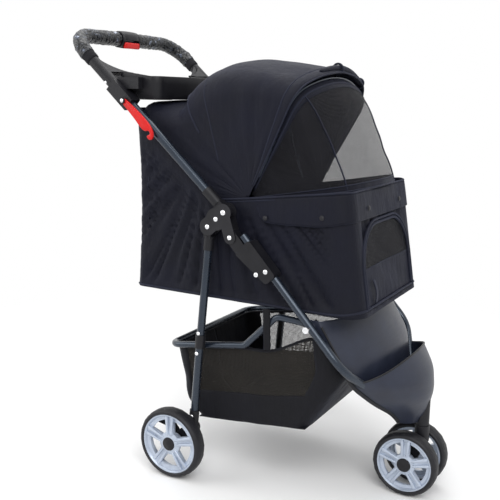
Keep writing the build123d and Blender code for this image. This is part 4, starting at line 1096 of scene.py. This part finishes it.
def shell_at(levels, share, z):
    """A point round a shell at a height: a straight rear edge and a round front."""
    rear, front, half = (eased([(level[0], level[k]) for level in levels], z) for k in (1, 2, 3))
    deep = front - rear
    radius = (half * half + deep * deep) / (2 * deep)
    limit = atan2(half, radius - deep)
    a = mix(-limit, limit, share)
    return (front - radius + radius * cos(a), radius * sin(a), z)


def bowl_rim(y):
    """Height of the bowl's rim, which dips to the sides."""
    return 311.0 - 340.2 + sqrt(340.2 ** 2 - y * y)


def bowl_at(u, v):
    z = mix(BOWL_LOW, 300.0, v)
    for _ in range(4):
        z = mix(BOWL_LOW, bowl_rim(shell_at(BOWL, u, z)[1]), v)
    return shell_at(BOWL, u, z)


def panel_at(u, v):
    """The panel, with its edges turned back behind the legs."""
    flat = (u - TURN_BACK) / (1 - 2 * TURN_BACK)
    x, y, z = shell_at(PANEL, min(1.0, max(0.0, flat)), mix(PANEL_LOW, PANEL_HIGH, v))
    beyond = max(0.0, TURN_BACK - u, u - (1 - TURN_BACK)) / TURN_BACK
    return (x - 26.0 * beyond * smooth((z - 300) / 60), y, z)


def hard_shell(name, obj, node):
    thicken(obj, 3.0)
    round_off(obj, 1.1, 3, 50)
    soften(obj, 40)
    obj.name = name
    dress(obj, plastic_slate, *SHELL, node)


def upright_edges(levels, inset, low, high, radius):
    """Beads up both rear edges of a shell."""
    return [cord_of("bead", [shell_at(levels, share, mix(low, high, t)) for t in steps(40)], radius)
            for share in (inset, 1 - inset)]


hard_shell("nose_bowl_shell", sheet_of("bowl", 72, 40, bowl_at, (0.4, 0.2)), "nose_bowl")
hard_shell("front_panel_shell", sheet_of("panel", 68, 42, panel_at, (0.44, 0.21)), "front_panel")
under = [place(*shell_at(BOWL, t, BOWL_LOW)[:2], BOWL_LOW + 0.2) for t in steps(20)]
dress(plate("nose_bowl_floor", under, Vector((0, 0, 0.003)), 0.5), plastic_slate, *SHELL)
lines = [cord_of("bead", [bowl_at(t, 1.0) for t in steps(60)], 2.0)]
lines += upright_edges(PANEL, 0.004, 222.0, 382.0, 2.4) + upright_edges(BOWL, 0.002, 162.0, 296.0, 4.6)
dress(joined("shell_edging", lines), plastic_black, "front_frame", "black_plastic")


# Parent tray: a shallow dish with two cup wells whose rear rim sweeps up to the handle's arms

TRAY_X, CUP_SPOTS = -239.0, (-112.0, 112.0)
WELL = ((0, -60), (37.2, -60), (37.2, 8), (0, 8))
CUP = ((0, 810.5), (34.0, 810.5), (38.4, 811.8), (40.0, 815.0), (40.0, 833.0), (38.6, 834.6), (37.1, 833.6),
       (37.0, 817.0), (35.0, 814.4), (0, 814.2))


def round_corners(rear, front, half, corner, count, rear_points=0):
    """(x, y) round an oblong with round corners, with points along its rear where they are asked for."""
    points = []
    for cx, cy, start in ((front - corner, half - corner, 0), (rear + corner, half - corner, 90),
                          (rear + corner, corner - half, 180), (front - corner, corner - half, 270)):
        for t in steps(count):
            a = radians(start + 90 * t)
            points.append((cx + corner * cos(a), cy + corner * sin(a)))
        if start == 90:
            points += [(rear, mix(cy, -cy, k / (rear_points + 1))) for k in range(1, rear_points + 1)]
    return points


def tray_step(rise, wide):
    """Draws the tray's wall on by a step and widens it about the tray's middle."""
    draw_out((0, 0, rise * MM))
    bpy.ops.transform.resize(value=(wide, 1 + (wide - 1) * 0.45, 1), center_override=place(TRAY_X, 0, 850))


tray = filled("tray", [place(x, y, 811.5) for x, y in round_corners(-290.0, -188.0, 171.0, 20.0, 8, 15)])
for rise, wide in ((9.5, 1.04), (23.0, 1.03), (16.0, 1.01)):
    tray_step(rise, wide)
bpy.ops.mesh.inset(thickness=3.2 * MM, depth=0)
for rise, wide in ((-20.0, 0.97), (-6.5, 0.94)):
    tray_step(rise, wide)
face_out()
close_edit()
for vertex in tray.data.vertices:
    if vertex.co.z > 0.85 and vertex.co.x < place(-270, 0, 0).x:
        vertex.co.z += 9.0 * MM * smooth((abs(vertex.co.y) / MM - 85) / 60)
round_off(tray, 1.3, 2, 40)
for spot in CUP_SPOTS:
    cut_away(tray, turned("well", WELL, place(TRAY_X, spot, 838.0), (0, 0, 1), 48))
cups = [turned("cup", CUP, place(TRAY_X, spot, 0.0), (0, 0, 1), 48) for spot in CUP_SPOTS]
tray = joined("tray_dish", [tray] + cups)
soften(tray, 40)
dress(tray, plastic_black, *HANDLE, "parent_tray")


def wing_at(u, v):
    """The sweep from a handle arm down to the tray's rear rim."""
    arm = Vector(handle_at(mix(383.0, 450.0, u), 187.0, 6.0))
    rim = Vector((mix(-289.0, -295.0, u), mix(172.0, 100.0, u), mix(840.0, 866.0, u)))
    return tuple(arm.lerp(rim, v) - Vector((0, 0, 9.0 * u * sin(pi * v))))


wings = [sheet_of("tray_wing_left", 20, 20, wing_at, (0.07, 0.08))]
wings.append(copy_of(wings[0], "tray_wing_right", True))
for wing in wings:
    thicken(wing, 3.0, 0)
    round_off(wing, 1.0, 2, 40)
    soften(wing, 40)
    dress(wing, plastic_black, *HANDLE)


# Handle: wrapped grips, release housing and the red storage hook

BEND_R, BEND_Y = 62.0, 132.0  # the handle's bend, and where the straight bar begins
BEND_START, BEND_END = 19.0, 116.4  # on the grip's run
HOUSING = ((9.6, -31.8), (17.6, -31.8), (18.8, -30.6), (19.2, -26), (18.6, -24.5), (19.4, -23), (19.9, -12),
           (20, 0), (19.9, 12), (19.4, 23), (18.6, 24.5), (19.2, 26), (18.8, 30.6), (17.6, 31.8), (9.6, 31.8),
           (9.6, -31.8))
HOOK = ((-3, 6), (6, 9.5), (46, 14), (76, 15), (98, 12.5), (114, 3), (120, -9), (117, -17), (110, -20.5),
        (104.5, -18), (103.6, -13.5), (107, -8), (106.5, -3.5), (101, -1), (96, -4), (94, -11), (80, -14.5),
        (52, -10), (27, -8.5), (1, -7), (-5, -2))
HOOK_PIVOT = 326.0  # along the handle


def grip_path(run):
    """(along, y, turn) on the handle's bar, from a grip's lower end to the housing."""
    if run <= BEND_START:
        return 455 + run, BEND_Y + BEND_R, 0.0
    if run <= BEND_END:
        a = (run - BEND_START) / BEND_R
        return 474 + BEND_R * sin(a), BEND_Y + BEND_R * cos(a), a
    return REACH, BEND_Y - (run - BEND_END), pi / 2


def grip_point(run, spin, radius):
    along, y, a = grip_path(run)
    r_out, r_up = radius * sin(spin), radius * cos(spin)
    return handle_at(along + r_out * sin(a), y + r_out * cos(a), r_up)


def film_at(u, v):
    run = mix(14.0, 215.0, u)
    spin = 2 * pi * v
    ring = Vector((2.1 * cos(spin), 2.1 * sin(spin), run / 13))
    crumple = abs(noise.noise(ring)) * 2.6 + abs(noise.noise(ring * 2.3)) * 1.2
    ends = smooth(min(u, 1 - u) / 0.03)
    return grip_point(run, spin, 15.6 + (crumple - 0.3) * ends)


def foam_at(u, v):
    end = 1 - (max(0.0, 1 - u / 0.12) ** 2) * 0.14
    return grip_point(mix(-6.0, 30.0, u), 2 * pi * v, 14.8 * end)


films = [sheet_of("grip_film_left", 150, 44, film_at, (0.21, 0.11), True)]
films.append(copy_of(films[0], "grip_film_right", True))
foams = [sheet_of("grip_foam_left", 14, 40, foam_at, (0.02, 0.11), True)]
foams.append(copy_of(foams[0], "grip_foam_right", True))
for side, film, foam in zip(("left", "right"), films, foams):
    thicken(film, 0.8)
    thicken(foam, 3.0)
    dress(film, film_clear, "handle_frame", "grip_film", f"grip_{side}")
    dress(foam, foam_black, *HANDLE)
bar = place(*handle_at(REACH))
housing = turned("release_housing_shell", HOUSING, bar, ACROSS, 56)
slot_edge = [bar + Vector((a * MM, b * MM, -0.03))
             for a, b in ((2.4, -26.6), (30, -26.6), (30, 26.6), (2.4, 26.6))]
cut_away(housing, plate("slot", slot_edge, Vector((0, 0, 0.0285))))
soften(housing, 40)
dress(housing, plastic_black, *HANDLE, "release_housing")
button_edge = [bar + Vector((x, y, -21.0)) * MM for x, y in round_corners(11.2, 20.8, 26.0, 3.4, 4)]
button = plate("release_button_cap", button_edge, Vector((0, 0, 14.0 * MM)), 2.6, 3, 60)
dress(button, red_gloss, "release_button", "red_plastic", "release_button")


def hook_outline():
    """The hook's outline rounded twice by cutting its corners."""
    points = [Vector(spot) for spot in HOOK]
    for _ in range(2):
        cut = []
        for here, there in zip(points, points[1:] + points[:1]):
            cut += [here.lerp(there, 0.25), here.lerp(there, 0.75)]
        points = cut
    return points


hook_points = [place(*handle_at(HOOK_PIVOT - 0.9 * down, -208.9, 0.74 * across))
               for down, across in hook_outline()]
hook = plate("storage_hook_arm", hook_points, Vector((0, -5 * MM, 0)), 1.3, 3, 60)
dress(hook, red_gloss, "storage_hook", "red_plastic", "storage_hook")


# Rivets: domed heads on the hinges, the handle and the rear legs

DOME = ((0.0, 1.0), (0.35, 0.96), (0.66, 0.8), (0.88, 0.5), (1.0, 0.16), (1.0, 0.0), (0.0, 0.0))


def rivets(name, spots, body, *nodes, sides=(-1, 1)):
    heads = []
    for x, z, y, radius, height in spots:
        for sign in sides:
            shape = [(r * radius, h * height) for r, h in DOME]
            heads.append(turned("rivet", shape, place(x, sign * y, z), (0, sign, 0), 24))
    return dress(joined(name, heads), steel_bright, body, "bright_steel", *nodes)


FLANK, LOCK_FLANK = 205.5, 208.6  # outer faces of the hinge plates and lock housings
HINGE_SPOTS = ((PIVOT_X, PIVOT_Z, FLANK, 6.0, 3.6), (-24.0, 577.3, FLANK, 5.4, 3.4),
               (-44.0, 560.0, FLANK, 5.4, 3.4), (*leg_at(47, 0, -22)[::2], FLANK, 5.4, 3.4),
               (*leg_at(140, 0, -21)[::2], LOCK_FLANK, 5.4, 3.4),
               (*leg_at(148, 0, 0)[::2], LOCK_FLANK, 5.4, 3.4))
REAR_LEG_SPOTS = ((-66.0, 329.0, 203.2, 4.4, 2.6), (-70.0, 284.0, 203.2, 4.4, 2.6),
                  (-81.7, 140.0, 203.8, 3.6, 2.4))
rivets("hinge_rivets", HINGE_SPOTS, "front_frame", "hinge_pins")
rivets("hook_pivot_head", [(*handle_at(HOOK_PIVOT, 0, 0)[::2], 216.0, 4.6, 2.4)], "handle_frame", sides=(-1,))
rivets("handle_rivets", [(*handle_at(389, 0, -6)[::2], 204.6, 3.4, 2.2)], "handle_frame")
for side, sign in (("left", 1), ("right", -1)):
    rivets(f"rear_leg_rivets_{side}", REAR_LEG_SPOTS, f"rear_{side}_leg", sides=(sign,))


# The frame's own solids keep their shape and take a finish

def both(*names):
    return tuple(f"{name}_{side}" for name in names for side in ("left", "right"))


FINISHES = (
    (tube_black, both("front_leg", "rear_leg", "rear_axle") + ("handle_tube", "basket_rail", "front_axle")),
    (plate_dark, both("hinge_plates") + ("release_cables",)),
    (plastic_black, both("handle_knuckle", "rear_knuckle", "lock_housing", "tray_bracket", "wheel_bracket",
                         "brake_lever", "rail_saddle") + ("caster_fork", "caster_socket")),
    (steel_bright, ("catch_pins",)),
)
for finish, names in FINISHES:
    for name in names:
        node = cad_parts[name]
        node.data.materials.clear()
        node.data.materials.append(finish)


# Floor, lamps and camera

def pale_floor():
    """A white floor that runs out into the white room round it and keeps the shadow."""
    bpy.ops.object.select_all(action="DESELECT")
    bpy.ops.mesh.primitive_circle_add(vertices=96, radius=1.7, fill_type="TRIFAN")
    floor = added("pale_floor")
    material, tree, shader = finish_of("pale_floor", Roughness=0.9, Specular_IOR_Level=0.05)
    marks = cloud(tree, spot_on(tree, "Object"), 3.0, 4)
    coloured(tree, shader, shades(tree, marks, 0.95, 0.97))
    spread = tree.nodes.new("ShaderNodeTexGradient")
    spread.gradient_type = "SPHERICAL"
    tree.links.new(spot_on(tree, "Object", (0.6, 0.6, 0.6)), spread.inputs["Vector"])
    fade = graded(tree, spread.outputs["Fac"], [(0.06, grey(0.0)), (0.62, grey(1.0))])
    tree.links.new(fade, shader.inputs["Alpha"])
    floor.data.materials.append(material)


def white_room():
    """White where the camera looks, and softer as light."""
    world = bpy.data.worlds.new("white_room")
    bpy.context.scene.world = world
    world.use_nodes = True
    tree = world.node_tree
    glow = tree.nodes["Background"]
    glow.inputs["Color"].default_value = (1, 1, 1, 1)
    path = tree.nodes.new("ShaderNodeLightPath")
    seen = sum_of(tree, "MAXIMUM", path.outputs["Is Camera Ray"], path.outputs["Is Transmission Ray"])
    seen = sum_of(tree, "MAXIMUM", seen, path.outputs["Is Glossy Ray"])
    span = tree.nodes.new("ShaderNodeMapRange")
    span.inputs["To Min"].default_value = 0.55
    span.inputs["To Max"].default_value = 1.0
    tree.links.new(seen, span.inputs["Value"])
    tree.links.new(span.outputs["Result"], glow.inputs["Strength"])


def lamp(name, spot, aim, size, watts):
    data = bpy.data.lights.new(name, "AREA")
    data.size = size
    data.energy = watts
    obj = bpy.data.objects.new(name, data)
    bpy.context.scene.collection.objects.link(obj)
    obj.location = spot
    obj.rotation_euler = (Vector(aim) - Vector(spot)).to_track_quat("-Z", "Y").to_euler()


def photo_camera():
    """The picture's viewpoint: 29 degrees round from the right side, looking down 11."""
    yaw, pitch, roll = radians(29.34), radians(11.34), radians(1.0)
    look = Vector((-sin(yaw) * cos(pitch), cos(yaw) * cos(pitch), -sin(pitch)))
    side = Vector((cos(yaw), sin(yaw), 0))
    up = side.cross(look)
    right = side * cos(roll) + up * sin(roll)
    top = up * cos(roll) - side * sin(roll)
    data = bpy.data.cameras.new("photo_camera")
    data.sensor_width = 36
    data.lens = 36 * 773.8 / 500
    camera = bpy.data.objects.new("photo_camera", data)
    bpy.context.scene.collection.objects.link(camera)
    turn = Matrix((right, top, -look)).transposed().to_4x4()
    camera.matrix_world = Matrix.Translation(place(793.5, -1516.1, 824.8)) @ turn
    bpy.context.scene.camera = camera


pale_floor()
white_room()
lamp("key_lamp", (1.6, -2.2, 2.6), (0, 0, 0.5), 2.2, 70)
lamp("fill_lamp", (-2.6, -1.6, 1.8), (0, 0, 0.5), 2.4, 40)
lamp("top_lamp", (-0.4, 0.6, 3.2), (0, 0, 0.5), 2.6, 50)
photo_camera()
bpy.context.scene.view_settings.view_transform = "Standard"
